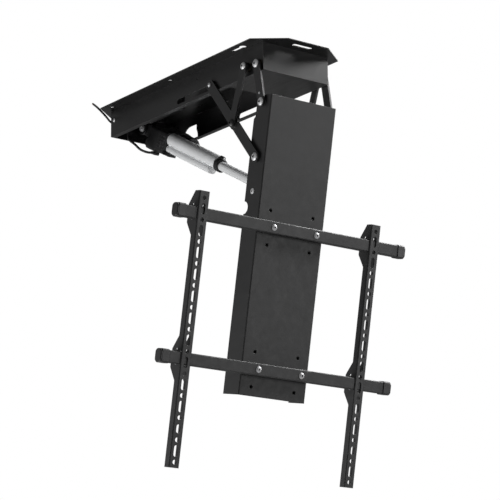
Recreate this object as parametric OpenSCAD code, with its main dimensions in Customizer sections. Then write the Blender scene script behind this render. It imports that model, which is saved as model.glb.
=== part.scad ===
// Motorised flip-down ceiling mount for a flat screen, shown fully lowered.
// Origin: centre of the face that lies against the ceiling. X is the width, -Y is the
// front, where the screen looks, and +Z is up. All lengths are in millimetres.

/* [Ceiling box] */
// Length of the box, front wall to rear wall
box_l = 520; // [500:1:560]
// Width of the box over its side walls
box_w = 155; // [148:1:180]
// Height of the box from the ceiling to its lower edge
box_h = 56.5; // [55:0.5:58]
// Thickness of the box's folded sheet
wall_t = 2; // [1.5:0.1:2.4]
// Thickness of the plate against the ceiling
ceiling_t = 2; // [1.5:0.5:3]
// Width of the ceiling plate beyond each side wall
side_flange = 29; // [26:1:45]
// Length of the ceiling plate beyond the front and rear walls
end_flange = 41; // [32:1:55]
// Cut corner of the ceiling plate, measured across
corner_x = 59; // [30:1:64]
// Cut corner of the ceiling plate, measured along
corner_y = 45; // [20:1:60]
// Width of the inward lip at the foot of each side wall
lip_w = 8; // [5:0.5:12]
// Length of the cover under the front of the box
cover_l = 121; // [90:1:140]
// Screw hole in the ceiling plate, diameter
ceiling_hole_d = 8; // [5:0.5:9]
// Distance between the two round ceiling holes of one side
ceiling_hole_pitch = 208; // [180:1:215]
// Distance across between the ceiling holes
ceiling_hole_span = 182; // [174:1:194]
// Length of the cross slots in the ceiling plate
ceiling_slot_l = 46; // [30:1:60]
// Width of the cross slots in the ceiling plate
ceiling_slot_w = 10; // [7:0.5:14]

/* [Screen plate] */
// Tilt of the screen plate from level when lowered, degrees
plate_tilt = 78.8; // [76:0.1:80]
// Length of the screen plate below the middle of the lower cross bar
plate_below = 50; // [42:1:90]
// Width of the screen plate over its flanges
plate_w = 155; // [148:1:180]
// Depth of the plate's side flanges
flange_d = 48; // [44:0.5:48]
// Thickness of the plate's sheet
plate_t = 2; // [1.5:0.1:2.5]
// Plate screw hole, diameter
plate_hole_d = 7; // [5:0.5:8]
// Distance across between the plate's screw holes
plate_hole_span = 100; // [75:1:100]

/* [Links] */
// Thickness of the link bars
link_t = 4; // [3:0.5:5]
// Width of the front links
front_link_w = 19; // [16:0.5:22]
// Width of the middle links
mid_link_w = 17; // [15:0.5:20]
// Width of the long links
long_link_w = 20; // [17:0.5:22]
// Gap between neighbouring link layers
layer_gap = 2; // [1.5:0.1:3]
// Diameter of the pivot bolts
pivot_d = 8; // [6:0.5:9]
// Diameter of the bolt heads
head_d = 16; // [13:0.5:16]
// Running clearance of a pivot, on the radius
pivot_gap = 0.05; // [0.02:0.01:0.1]

/* [Bars and rails] */
// Height of the cross bars
bar_h = 23; // [20:0.5:26]
// Depth of the cross bars
bar_d = 17; // [14:0.5:20]
// Wall of the cross bars
bar_t = 1.5; // [1.2:0.1:2.5]
// Length of the cross bars without their caps
bar_l = 525.5; // [500:0.5:640]
// Distance between the two cross bars
bar_pitch = 265; // [255:1:275]
// Width of the screen rails
rail_w = 23; // [21:0.5:26]
// Thickness of the rails' sheet
rail_t = 2; // [1.5:0.1:2.5]
// Length of the screen rails
rail_l = 503.5; // [495:0.5:540]
// Distance between neighbouring round holes of a rail
hole_pitch = 40; // [39:0.5:40]
// Round hole of a rail, diameter
rail_hole_d = 8.2; // [6.5:0.1:9]
// Length of a rail's slots
rail_slot_l = 20.5; // [16:0.5:23]
// Distance from the bars' left end to the middle of the left rail
rail_left_in = 49; // [40:1:100]
// Distance from the bars' right end to the middle of the right rail
rail_right_in = 73; // [50:1:100]

/* [Actuator] */
// Diameter of the push rod
rod_d = 19; // [16:0.5:20]
// Diameter of the tube's round lobe
tube_d = 28; // [27:0.5:29]
// Depth of the tube below the rod's axis
tube_drop = 23.5; // [22:0.5:26]
// Length of the silver tube
tube_l = 183.5; // [175:0.5:186]
// Diameter of the motor
motor_d = 38; // [34:0.5:40]
// Length of the motor
motor_l = 47; // [40:1:60]
// Diameter of the lead screw
screw_d = 10; // [8:0.5:11]
// Diameter of the rear clevis pin
clevis_d = 10; // [8:0.5:11]
// Diameter of the cross pin at the rod's end
cross_pin_d = 12; // [10:0.5:13]

/* [Hidden] */
$fn = 48;

// Colours of the real finishes
steel_black = [0.11, 0.11, 0.115];
plastic_black = [0.07, 0.07, 0.075];
zinc_bright = [0.78, 0.78, 0.80];
silver = [0.72, 0.73, 0.75];
board_green = [0.10, 0.32, 0.16];
brass_yellow = [0.72, 0.58, 0.30];

// Small general clearances
snug = 0.02;
slip = 0.1;
seat = 0.3;

// Outer faces of the side walls and of the layers that lie outside them
wall_x = box_w/2;
inner_x = box_w/2 - wall_t;
flange_x = plate_w/2;
layer_x = max(wall_x, flange_x);
inner_layer = layer_x + layer_gap;
outer_layer = inner_layer + link_t + layer_gap;

// Pivots on the box and the rest place of the slider, as [y, z]
front_y = -box_l/2;
rear_y = box_l/2;
pivot_front = [front_y + 16, -41.5];
pivot_mid = [front_y + 47, -39];
slider_run_in = 165;
slider_y = front_y + slider_run_in;
slider_z = -43;
slider_travel = 113.3;
slot_z = -45;
slot_front_reach = 13;
slot_rear_reach = 5.7;
slot_h = pivot_d + 3;

// The screen plate's frame: its top front edge as [y, z]; then u runs down the plate
// and d runs back from its front face
plate_top = [front_y - 24.5, -111.8];
top_pivot = [14, 23.5];
low_pivot = [119, 23.5];
pin_place = [183, 26.5];
bar_u = 248.5;
hole_offset = 32.5;
plate_l = bar_u + bar_pitch + plate_below;
function from_plate(p) = [
    plate_top[0] + p[0]*cos(plate_tilt) + p[1]*sin(plate_tilt),
    plate_top[1] - p[0]*sin(plate_tilt) + p[1]*cos(plate_tilt)
];
pivot_top = from_plate(top_pivot);
pivot_low = from_plate(low_pivot);
pin_rest = from_plate(pin_place);
slider_rest = [slider_y, slider_z];
cross_share = 0.545;
pivot_cross = slider_rest + cross_share*(pivot_low - slider_rest);

// The actuator hangs from the clevis and points at the cross pin
clevis = [rear_y - 20, -30];
reach = norm(pin_rest - clevis);
droop = atan2(clevis[1] - pin_rest[1], clevis[0] - pin_rest[0]);
gear_module = 1;
screw_teeth = 24;
idler_teeth = 16;
pinion_teeth = 16;
idler_x = gear_module*(screw_teeth + idler_teeth)/2;
motor_reach = gear_module*(idler_teeth + pinion_teeth)/2;
motor_place = [idler_x + motor_reach, 0];
housing_s = 36;
housing_drop = 33;
housing_rise = 15;
housing_side = 17;
cover_s = 74;
cover_drop = 30.5;
motor_s = 78;
sleeve_s = 92;
tube_s = 102.5;
nut_s = 228;
nut_l = 12;
rod_s = nut_s + nut_l;
rod_bore = 15;
end_s = reach - 30;
gear_s = 54;
gear_t = 11;

// Rails and bars
bar_shift = -0.75;
rail_left_x = bar_shift - bar_l/2 + rail_left_in;
rail_right_x = bar_shift + bar_l/2 - rail_right_in;
bar_corner = 2;
cap_collar = 12.5;
cap_end = 6;
cap_skin = 1.5;
bend_r = 2.5;
bend_in = 1;
rail_top = 207;
first_hole = 220;
hole_count = 13;
rail_gap = 0.3;
rail_face = bar_d + rail_gap;
rail_flange = 5.5;
bump_d = 12;
bump_run = 24;
bump_half = 17;

// Free leads
antenna_d = 4.4;
cable_d = 5;

// Route points: x and z, and y as measured from the rear wall
antenna_points = [
    [-60, 1.5, -22], [-60, 6, -22], [-62.5, 11, -21.4], [-68, 13, -19.6],
    [-75, 10.5, -17.4], [-84, 4.5, -15], [-95, -3, -13], [-106, -10.5, -11.4],
    [-117, -18, -9.8], [-131, -27, -8], [-145, -35, -6.8]
];
cable_points = [
    [-34, -65, -24], [-34, -56, -24], [-36, -44, -25], [-39, -31, -28.5],
    [-42, -21.5, -35.5], [-44.5, -17, -45], [-46, -17.5, -55.5], [-45.5, -23.5, -64],
    [-44, -32, -70.8], [-42, -39, -77], [-39.5, -44, -83], [-36, -49, -88.3],
    [-30.5, -54.8, -92.4]
];
antenna_route = [for (p = antenna_points) p + [0, rear_y, 0]];

// General shapes

module plate_frame() translate([0, plate_top[0], plate_top[1]]) rotate([-plate_tilt, 0, 0]) children();

// In this frame x stays across, y rises square to the rod and z runs along it
module barrel_frame() translate([0, clevis[0], clevis[1]]) rotate([90 + droop, 0, 0]) children();

module both_sides() {
    children();
    mirror([1, 0, 0]) children();
}

// A round bar along X, from x0 to x1
module rod_x(r, x0, x1) translate([x0, 0, 0]) rotate([0, 90, 0]) cylinder(r = r, h = x1 - x0);

module at_yz(p) translate([0, p[0], p[1]]) children();

// The [y, z] place of a point of the barrel's frame: s along the rod, v square to it
function from_barrel(s, v) = [
    clevis[0] - s*cos(droop) - v*sin(droop),
    clevis[1] - s*sin(droop) + v*cos(droop)
];

// A rounded rectangle from corner to corner
module round_rect(x0, y0, x1, y1, r) {
    translate([x0 + r, y0]) square([x1 - x0 - 2*r, y1 - y0]);
    translate([x0, y0 + r]) square([x1 - x0, y1 - y0 - 2*r]);
    for (x = [x0 + r, x1 - r], y = [y0 + r, y1 - r]) translate([x, y]) circle(r = r);
}

// The section of a folded channel, open at the top: w wide and depth deep
module channel_2d(w, depth, t) intersection() {
    translate([-w/2, 0]) square([w, depth]);
    difference() {
        round_rect(-w/2, 0, w/2, depth + 2*bend_r, bend_r);
        round_rect(-w/2 + t, t, w/2 - t, depth + 2*bend_r, bend_in);
    }
}

// A slot of width w whose ends are centred at x = 0 and x = l
module slot_2d(l, w) {
    circle(d = w);
    translate([l, 0]) circle(d = w);
    translate([0, -w/2]) square([l, w]);
}

// Button head bolt along +X from x = 0: head outside, shank of the given length inside
module button_head(r, h) {
    rim_h = h*0.35;
    dome_h = h - rim_h;
    dome_r = (r*r + dome_h*dome_h)/(2*dome_h);
    difference() {
        rotate([0, 90, 0]) rotate_extrude() {
            square([r, rim_h]);
            intersection() {
                translate([0, rim_h + dome_h - dome_r]) circle(r = dome_r);
                translate([0, rim_h]) square([r, dome_h]);
            }
        }
        translate([h*0.45, 0, 0]) rotate([0, 90, 0]) cylinder(r = r*0.36, h = h, $fn = 6);
    }
}

module hex_nut(d, h) rotate([0, 90, 0]) cylinder(r = d*0.95, h = h, $fn = 6);

module ring_x(r_out, r_in, x0, x1) {
    difference() {
        rod_x(r_out, x0, x1);
        rod_x(r_in, x0 - 1, x1 + 1);
    }
}

// A flat bar between two [y, z] places, standing at x0
module link_bar(a, b, w, x0, holes) {
    run = b - a;
    translate([x0, 0, 0]) difference() {
        rotate([90, 0, 90]) linear_extrude(link_t) difference() {
            translate(a) rotate(atan2(run[1], run[0])) slot_2d(norm(run), w);
            for (h = holes) translate(h) circle(d = pivot_d + 2*pivot_gap);
        }
    }
}

// Points of a tube around a route: rings of n points, each square to the route's run
function unit(v) = v/norm(v);
function run_at(p, i) = unit(p[min(i + 1, len(p) - 1)] - p[max(i - 1, 0)]);
function side_of(t) = unit(cross(t, abs(t[2]) > 0.9 ? [1, 0, 0] : [0, 0, 1]));
function turned(v, t, w) = let (f = v - t*(v*t)) norm(f) > 0.01 ? unit(f) : side_of(w);
function frames(p, i, v) = i >= len(p) ? [] :
    let (t = run_at(p, i), f = turned(v, t, t)) concat([[t, f]], frames(p, i + 1, f));
module swept_tube(route, d, n) {
    base = frames(route, 0, side_of(run_at(route, 0)));
    count = len(route);
    points = [for (i = [0:count - 1], k = [0:n - 1])
        let (t = base[i][0], f = base[i][1], g = cross(t, f))
        route[i] + d/2*(f*cos(360*k/n) + g*sin(360*k/n))];
    sides = [for (i = [0:count - 2], k = [0:n - 1])
        [i*n + k, i*n + (k + 1)%n, (i + 1)*n + (k + 1)%n, (i + 1)*n + k]];
    caps = [[for (k = [n - 1:-1:0]) k], [for (k = [0:n - 1]) (count - 1)*n + k]];
    polyhedron(points = points, faces = concat(sides, caps), convexity = 6);
}

// A spur gear: straight-sided teeth with room to run
module spur_gear(teeth, bore, phase) {
    pitch_r = gear_module*teeth/2;
    tip_r = pitch_r + 0.8*gear_module;
    root_r = pitch_r - 1.15*gear_module;
    step = 360/teeth;
    linear_extrude(gear_t) difference() {
        rotate(phase) polygon([for (i = [0:teeth - 1]) each [
            root_r*[cos(step*(i - 0.34)), sin(step*(i - 0.34))],
            tip_r*[cos(step*(i - 0.13)), sin(step*(i - 0.13))],
            tip_r*[cos(step*(i + 0.13)), sin(step*(i + 0.13))],
            root_r*[cos(step*(i + 0.34)), sin(step*(i + 0.34))]
        ]]);
        circle(d = bore);
    }
}

// Ceiling box

ceiling_half_x = box_w/2 + side_flange;
ceiling_half_y = box_l/2 + end_flange;
hole_front_y = 26.5;
hole_rear_y = hole_front_y + ceiling_hole_pitch;
keyhole_y = -187;
keyhole_l = 34;
keyhole_w = 8;
keyhole_head = 14;

module ceiling_outline() {
    x = ceiling_half_x;
    y = ceiling_half_y;
    polygon([
        [-x, -y + corner_y], [-x + corner_x, -y], [x - corner_x, -y], [x, -y + corner_y],
        [x, y - corner_y], [x - corner_x, y], [-x + corner_x, y], [-x, y - corner_y]
    ]);
}

module ceiling_plate() {
    span = ceiling_hole_span/2;
    slot_run = ceiling_slot_l - ceiling_slot_w;
    slot_y = ceiling_half_y - end_flange/2;
    color(steel_black) translate([0, 0, -ceiling_t]) linear_extrude(ceiling_t) difference() {
        ceiling_outline();
        for (s = [-1, 1]) {
            for (y = [hole_front_y, hole_rear_y]) translate([s*span, y]) circle(d = ceiling_hole_d);
            translate([s*span, keyhole_y]) rotate(-90) slot_2d(keyhole_l - keyhole_head/2, keyhole_w);
            translate([s*span, keyhole_y - keyhole_l + keyhole_head/2]) circle(d = keyhole_head);
            translate([-slot_run/2, s*slot_y]) slot_2d(slot_run, ceiling_slot_w);
        }
    }
}

notch_front = rear_y - 88;
notch_rear = rear_y - 40;
notch_top = -22;
notch_r = 26;
small_hole = [-46, -16];
box_screw = [rear_y - 12, -23];

// The wall's outline in [y, z]
module wall_profile(with_notch) {
    difference() {
        translate([front_y + wall_t, -box_h]) square([box_l - wall_t, box_h - ceiling_t]);
        for (p = [pivot_front, pivot_mid]) translate(p) circle(d = pivot_d + 2*slip);
        translate([slider_y - slot_front_reach + slot_h/2, slot_z])
            slot_2d(slider_travel + slot_front_reach + slot_rear_reach - slot_h, slot_h);
        translate(small_hole) circle(d = 5);
        translate(box_screw) circle(d = 4 + 2*slip);
        if (with_notch) {
            notch_l = notch_rear - notch_front;
            notch_h = box_h + 1 + notch_top;
            translate([notch_front, -box_h - 1]) square([notch_l, notch_h - notch_r]);
            translate([notch_front, -box_h - 1]) square([notch_l - notch_r, notch_h]);
            translate([notch_rear - notch_r, notch_top - notch_r]) circle(r = notch_r);
        }
    }
}

// Side wall standing at negative X
module side_wall(with_notch) {
    cover_end = front_y + cover_l;
    lip_end = with_notch ? notch_front : rear_y - wall_t;
    translate([-wall_x, 0, 0]) rotate([90, 0, 90]) linear_extrude(wall_t) wall_profile(with_notch);
    translate([-inner_x, cover_end, -box_h]) cube([lip_w, lip_end - cover_end, wall_t]);
}

module side_wall_left() color(steel_black) side_wall(false);

module side_wall_right() color(steel_black) mirror([1, 0, 0]) side_wall(true);

module front_wall() color(steel_black) {
    translate([-wall_x, front_y, -box_h]) cube([box_w, wall_t, box_h - ceiling_t]);
    translate([-inner_x, front_y + wall_t, -box_h]) cube([2*inner_x, cover_l - wall_t, wall_t]);
}

lead_x = [-60, -46];
lead_z = [-22, -24];
grommet_r = 5;
inlet_r = 7;
tab_l = 20;

// A round hole through the rear wall
module rear_hole(x, z, r) translate([x, rear_y + 1, z]) rotate([90, 0, 0]) cylinder(r = r, h = wall_t + 2);

module rear_wall() color(steel_black) {
    difference() {
        translate([-inner_x, rear_y - wall_t, -box_h]) cube([2*inner_x, wall_t, box_h - ceiling_t]);
        rear_hole(lead_x[0], lead_z[0], grommet_r - 1.5);
        rear_hole(lead_x[1], lead_z[1], inlet_r - 1 + slip);
    }
    both_sides() difference() {
        translate([-inner_x, rear_y - wall_t - tab_l, box_screw[1] - 10]) cube([wall_t, tab_l, 20]);
        at_yz(box_screw) rod_x(2 + slip, -inner_x - 1, -inner_x + wall_t + 1);
    }
}

module box_screws() color(zinc_bright) both_sides() at_yz(box_screw) {
    translate([-wall_x, 0, 0]) mirror([1, 0, 0]) button_head(4, 2.4);
    rod_x(2, -wall_x, -inner_x + wall_t + 2);
}

ear_t = 3;
ear_gap = 10;
ear_r = 14;
bracket_half_x = 30;

module actuator_bracket() color(steel_black) {
    base_y = clevis[0] - ear_r;
    base_l = rear_y - wall_t - base_y;
    translate([-bracket_half_x, base_y, -ceiling_t - ear_t]) cube([2*bracket_half_x, base_l, ear_t]);
    for (x = [-ear_gap - ear_t, ear_gap]) translate([x, 0, 0]) difference() {
        union() {
            at_yz(clevis) rod_x(ear_r, 0, ear_t);
            translate([0, base_y, clevis[1]]) cube([ear_t, base_l, -clevis[1] - ceiling_t - ear_t]);
        }
        at_yz(clevis) rod_x(clevis_d/2 + slip, -1, ear_t + 1);
    }
}

module clevis_pin() color(zinc_bright) at_yz(clevis) {
    rod_x(clevis_d/2, -ear_gap - ear_t - 4, ear_gap + ear_t + slip);
    rod_x(clevis_d/2 + 3, ear_gap + ear_t + slip, ear_gap + ear_t + 4);
    ring_x(clevis_d/2 + 2.5, clevis_d/2 + snug, -ear_gap - ear_t - 2, -ear_gap - ear_t - slip);
}

// Control electronics

control_x = [-70, -26];
control_in = [190, 70];
control_y = [rear_y - control_in[0], rear_y - control_in[1]];
control_z = [-36, -ceiling_t];
case_t = 2;
case_w = control_x[1] - control_x[0];
case_l = control_y[1] - control_y[0];
case_h = control_z[1] - control_z[0];
board_z = control_z[0] + 8;
board_t = 1.6;
board_edge = [4, 6];
board_w = case_w - 2*board_edge[0];
board_l = case_l - 2*board_edge[1] - board_edge[0];
post_in = [7, 12];
chip = [16, 19, 12];
chip_in = [8, 20];
can_in = [14, 40];
cover_rib = [2, 1];
rib_edge = 8;

module control_box() color(plastic_black) difference() {
    translate([control_x[0], control_y[0], control_z[0] + case_t]) cube([case_w, case_l, case_h - case_t]);
    translate([control_x[0] + case_t, control_y[0] + case_t, control_z[0]])
        cube([case_w - 2*case_t, case_l - 2*case_t, case_h - case_t]);
    for (k = [0, 1]) translate([lead_x[k], control_y[1] + 1, lead_z[k]]) rotate([90, 0, 0])
        cylinder(r = 2.5, h = case_t + 2);
}

module control_box_cover() color(plastic_black) {
    rib_l = case_w - 2*rib_edge;
    translate([control_x[0], control_y[0], control_z[0]]) cube([case_w, case_l, case_t]);
    for (k = [1, 2, 3])
        translate([control_x[0] + rib_edge, control_y[0] + k*case_l/4, control_z[0] - cover_rib[1]])
            cube([rib_l, cover_rib[0], cover_rib[1]]);
}

module circuit_board() {
    post_x = [control_x[0] + post_in[0], control_x[1] - post_in[0]];
    post_y = [control_y[0] + post_in[1], control_y[1] - post_in[1] - case_t];
    parts_z = board_z + board_t;
    color(board_green) translate([control_x[0] + board_edge[0], control_y[0] + board_edge[1], board_z])
        cube([board_w, board_l, board_t]);
    color(plastic_black) {
        for (x = post_x, y = post_y) translate([x, y, control_z[0] + case_t])
            cylinder(r = 2, h = board_z - control_z[0] - case_t);
        for (k = [0, 1])
            translate([control_x[0] + chip_in[0], control_y[0] + chip_in[1] + k*(chip[1] + 5), parts_z])
                cube(chip);
    }
    color(zinc_bright) translate([control_x[1] - can_in[0], control_y[1] - can_in[1], parts_z])
        cylinder(r = 5, h = 14);
}

module power_inlet() color(plastic_black)
    translate([lead_x[1], rear_y, lead_z[1]]) rotate([-90, 0, 0]) {
        difference() {
            union() {
                cylinder(r = inlet_r, h = 2.5);
                translate([0, 0, -wall_t - 8]) cylinder(r = inlet_r - 1, h = wall_t + 8);
            }
            translate([0, 0, -4]) cylinder(r = 3, h = 8);
        }
        translate([0, 0, -4]) cylinder(r = 1, h = 5);
    }

module inner_leads() color(plastic_black) for (k = [0, 1]) {
    lead_end = k == 0 ? rear_y - wall_t - 3 : rear_y - wall_t - 8;
    translate([lead_x[k], control_y[1] - case_t, lead_z[k]]) rotate([-90, 0, 0])
        cylinder(r = 1.8, h = lead_end - control_y[1] + case_t);
}

module antenna_grommet() color(plastic_black) translate([lead_x[0], rear_y, lead_z[0]]) rotate([-90, 0, 0]) {
    cylinder(r = grommet_r, h = 1.5);
    translate([0, 0, -wall_t - slip]) cylinder(r = grommet_r - 1.6, h = wall_t + slip);
    translate([0, 0, -wall_t - 3]) cylinder(r = grommet_r, h = 3 - slip);
}

module antenna_lead() color(plastic_black) swept_tube(antenna_route, antenna_d, 8);

module motor_cable() color(plastic_black) swept_tube(cable_route, cable_d, 8);

module motor_cable_gland() color(plastic_black)
    translate([cable_route[0][0], control_y[1], cable_route[0][2]]) rotate([-90, 0, 0])
        cylinder(r = 4, h = 5);

// Pivots between the box and the links

module box_pivot_bolts() color(zinc_bright) both_sides() {
    at_yz(pivot_front) {
        rod_x(pivot_d/2, inner_face - slip, -inner_x + 7);
        translate([inner_face - slip, 0, 0]) mirror([1, 0, 0]) button_head(head_d/2, 4);
        translate([-inner_x + slip, 0, 0]) hex_nut(pivot_d*0.9, 5);
    }
    at_yz(pivot_mid) {
        rod_x(pivot_d/2, outer_face - slip, -inner_x + 7);
        translate([outer_face - slip, 0, 0]) mirror([1, 0, 0]) button_head(head_d/2 - 1, 4);
        translate([-inner_x + slip, 0, 0]) hex_nut(pivot_d*0.9, 5);
    }
}

module box_pivot_spacers() color(steel_black) both_sides() {
    at_yz(pivot_front) ring_x(8, pivot_d/2 + slip, -inner_layer + slip, -wall_x);
    at_yz(pivot_mid) ring_x(8, pivot_d/2 + slip, -outer_layer + slip, -wall_x);
}

// Links: the left one of each pair stands at negative X

rivet_share = 0.78;
hub_rise = 2;

rivet_r = 2.4;
inner_face = -inner_layer - link_t;
outer_face = -outer_layer - link_t;

module front_link() link_bar(pivot_front, pivot_top, front_link_w, inner_face, [pivot_front, pivot_top]);

module front_link_rivets() color(zinc_bright) both_sides()
    at_yz(pivot_front + rivet_share*(pivot_top - pivot_front)) rod_x(rivet_r, inner_face - 1.6, inner_face);

module mid_link() link_bar(pivot_mid, pivot_cross, mid_link_w, outer_face, [pivot_mid, pivot_cross]);

module long_link() {
    link_bar(slider_rest, pivot_low, long_link_w, inner_face, [slider_rest, pivot_cross, pivot_low]);
    at_yz(pivot_cross)
        ring_x(long_link_w/2 + hub_rise, pivot_d/2 + pivot_gap, inner_face, inner_face + link_t);
    at_yz(pivot_cross) ring_x(long_link_w/2 - 1, pivot_d/2 + slip, -outer_layer + slip, inner_face);
}

module front_link_left() color(steel_black) front_link();

module front_link_right() color(steel_black) mirror([1, 0, 0]) front_link();

module mid_link_left() color(steel_black) mid_link();

module mid_link_right() color(steel_black) mirror([1, 0, 0]) mid_link();

module long_link_left() color(steel_black) long_link();

module long_link_right() color(steel_black) mirror([1, 0, 0]) long_link();

module mid_pivot_bolts() color(steel_black) both_sides() at_yz(pivot_cross) {
    rod_x(pivot_d/2, outer_face - slip, -inner_layer - snug);
    translate([outer_face - slip, 0, 0]) mirror([1, 0, 0]) button_head(head_d/2 - 0.5, 4);
}

module long_link_bolts() color(zinc_bright) both_sides() {
    for (p = [slider_rest, pivot_low]) at_yz(p) {
        head_r = p == pivot_low ? head_d/2 : head_d/2 - 3.5;
        rod_x(pivot_d/2, inner_face, -inner_layer - snug);
        translate([inner_face, 0, 0]) mirror([1, 0, 0]) button_head(head_r, 4);
    }
}

// The round block sits in the middle of the slot, its spindle where the link's bolt is
module slider_rollers() color(plastic_black) both_sides() {
    at_yz([slider_y, slot_z]) rod_x(slot_h/2 - slip, -wall_x - 0.4, -inner_x + 0.4);
    at_yz(slider_rest) rod_x(pivot_d/2 - 1.2, -inner_x + 0.4, -inner_x + 8);
}

module slider_washers() color(zinc_bright) both_sides() at_yz(slider_rest) {
    rod_x(7, -wall_x - 1.4, -wall_x - 0.4);
    ring_x(7.5, pivot_d/2 - 1.2 + snug, -inner_x + 0.4, -inner_x + 2);
    ring_x(5.5, pivot_d/2 - 1.2 + snug, -inner_x + 2, -inner_x + 6);
}

// Screen plate and what is bolted to it

step_u = 40;
step_d = 5;
bite_u = 214;
bite_r = 12;

// A flange's outline in [u, d]
module flange_profile() {
    difference() {
        polygon([
            [0, 0], [plate_l, 0], [plate_l, flange_d], [step_u + step_d, flange_d],
            [step_u, flange_d - step_d], [0, flange_d - step_d]
        ]);
        translate([bite_u, flange_d]) circle(r = bite_r);
        translate(top_pivot) circle(d = pivot_d + 2*slip);
        translate(pin_place) circle(d = 6 + 2*slip);
    }
}

module plate_holes(r, d0, l, offsets)
    for (x = [-1, 1]*plate_hole_span/2, b = [0, 1], o = offsets)
        translate([x, bar_u + b*bar_pitch + o, d0]) cylinder(r = r, h = l);

module tv_plate() color(steel_black) plate_frame() difference() {
    intersection() {
        translate([0, plate_l, 0]) rotate([90, 0, 0]) linear_extrude(plate_l)
            channel_2d(plate_w, flange_d, plate_t);
        translate([-plate_w/2, 0, 0]) rotate([90, 0, 90]) linear_extrude(plate_w) flange_profile();
    }
    plate_holes(plate_hole_d/2, -1, plate_t + 2, [-hole_offset, 0, hole_offset]);
}

insert_r = 5;
insert_l = 12;
insert_bore = 2.5;

// Blind threaded inserts behind the holes that lie beside the bars
module plate_inserts() color(steel_black) plate_frame() difference() {
    plate_holes(insert_r, plate_t, insert_l, [-hole_offset, hole_offset]);
    plate_holes(insert_bore, plate_t - 1, insert_l - 1, [-hole_offset, hole_offset]);
}

module plate_pivot_bolts() color(zinc_bright) both_sides() at_yz(pivot_top) {
    rod_x(pivot_d/2, inner_face - slip, -flange_x + plate_t + 6);
    translate([inner_face - slip, 0, 0]) mirror([1, 0, 0]) button_head(head_d/2, 4);
    translate([-flange_x + plate_t + slip, 0, 0]) hex_nut(pivot_d*0.9, 5);
}

module plate_washers() color(zinc_bright) both_sides() {
    at_yz(pivot_top) ring_x(8, pivot_d/2 + slip, -inner_layer + slip, -flange_x);
    at_yz(pivot_low) rod_x(7, -inner_layer + seat, -flange_x);
}

// Low heads that the long links pass when the plate is folded up
pin_head_h = 1.6;

module cross_pin_screws() color(zinc_bright) both_sides() at_yz(pin_rest) {
    rod_x(3, -flange_x, -flange_x + plate_t);
    translate([-flange_x, 0, 0]) mirror([1, 0, 0]) button_head(5.5, pin_head_h);
}

// A rectangular tube across, in front of the plate; its section lies in [u, d]
module bar_section(inset, corner) round_rect(
    -bar_h/2 + inset, -bar_d + inset, bar_h/2 - inset, -inset, corner
);

module cross_bar(u) color(steel_black) plate_frame() difference() {
    translate([bar_shift - bar_l/2, u, 0]) rotate([90, 0, 90]) linear_extrude(bar_l) difference() {
        bar_section(0, bar_corner);
        bar_section(bar_t, bar_corner/2);
    }
    for (x = [-1, 1]*plate_hole_span/2) translate([x, u, -bar_d - 1]) cylinder(r = 3 + slip, h = bar_d + 2);
}

module upper_bar() cross_bar(bar_u);

module lower_bar() cross_bar(bar_u + bar_pitch);

// A cap: a collar over the tube's end, then an oval end whose rim is rounded in steps
module bar_cap() {
    oval = bar_d/2 - 1;
    difference() {
        translate([-cap_collar, 0, 0]) rotate([90, 0, 90]) linear_extrude(cap_collar + 2)
            bar_section(-cap_skin, bar_corner + cap_skin);
        translate([-cap_collar - 1, 0, 0]) rotate([90, 0, 90]) linear_extrude(cap_collar + 1)
            bar_section(-snug, bar_corner);
    }
    for (step = [[2, 0.2], [1, 0.7], [0, 1.6]]) translate([2, 0, 0]) rotate([90, 0, 90])
        linear_extrude(cap_end - 2 - step[0]*0.8) bar_section(step[1] - cap_skin, oval - step[1]);
}

module bar_end_caps() color(plastic_black) plate_frame() for (u = [bar_u, bar_u + bar_pitch]) {
    translate([bar_shift + bar_l/2, u, 0]) bar_cap();
    translate([bar_shift - bar_l/2, u, 0]) mirror([1, 0, 0]) bar_cap();
}

module bar_screws() color(zinc_bright) plate_frame()
    for (x = [-1, 1]*plate_hole_span/2, u = [bar_u, bar_u + bar_pitch]) translate([x, u, -bar_d]) {
        rotate([0, 90, 0]) button_head(6, 3.4);
        cylinder(r = 3, h = bar_d + plate_t + 5);
        translate([0, 0, bar_d + plate_t + slip]) cylinder(r = 5.5, h = 4, $fn = 6);
    }

// Screen rails

// A rail flange's outline in [u, d], with the cross bars' openings
module rail_flange_profile() {
    a = bar_u;
    b = bar_u + bar_pitch;
    difference() {
        polygon([
            [rail_top, -rail_face - rail_t], [rail_top + rail_l, -rail_face - rail_t],
            [rail_top + rail_l, -rail_flange],
            [b + bump_half + bump_run, -rail_flange], [b + bump_half, bump_d],
            [b - bump_half, bump_d], [b - bump_half - bump_run, -rail_flange],
            [a + bump_half + bump_run, -rail_flange], [a + bump_half, bump_d],
            [a - bump_half, bump_d], [rail_top, -5]
        ]);
        for (u = [a, b]) {
            translate([u - bar_h/2 - rail_gap, -bar_d - rail_gap])
                square([bar_h + 2*rail_gap, bar_d + 2*rail_gap]);
            translate([u - bar_h/2 - 5, -2]) circle(d = 4.4);
        }
    }
}

module rail_holes() translate([0, 0, -rail_face - rail_t - 1]) {
    for (i = [0:hole_count - 1]) translate([0, first_hole + i*hole_pitch, 0])
        cylinder(d = rail_hole_d, h = rail_t + 2);
    for (i = [0:hole_count - 2]) {
        slot_run = (i == hole_count - 3 ? rail_slot_l - 5 : rail_slot_l) - rail_hole_d;
        translate([0, first_hole + (i + 0.5)*hole_pitch - slot_run/2, 0])
            linear_extrude(rail_t + 2) rotate(90) slot_2d(slot_run, rail_hole_d);
    }
}

module rail(x) color(steel_black) translate([x, 0, 0]) plate_frame() difference() {
    intersection() {
        translate([0, rail_top + rail_l, -rail_face - rail_t]) rotate([90, 0, 0]) linear_extrude(rail_l)
            channel_2d(rail_w, rail_face + rail_t + bump_d, rail_t);
        translate([-rail_w/2, 0, 0]) rotate([90, 0, 90]) linear_extrude(rail_w) rail_flange_profile();
    }
    rail_holes();
}

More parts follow.
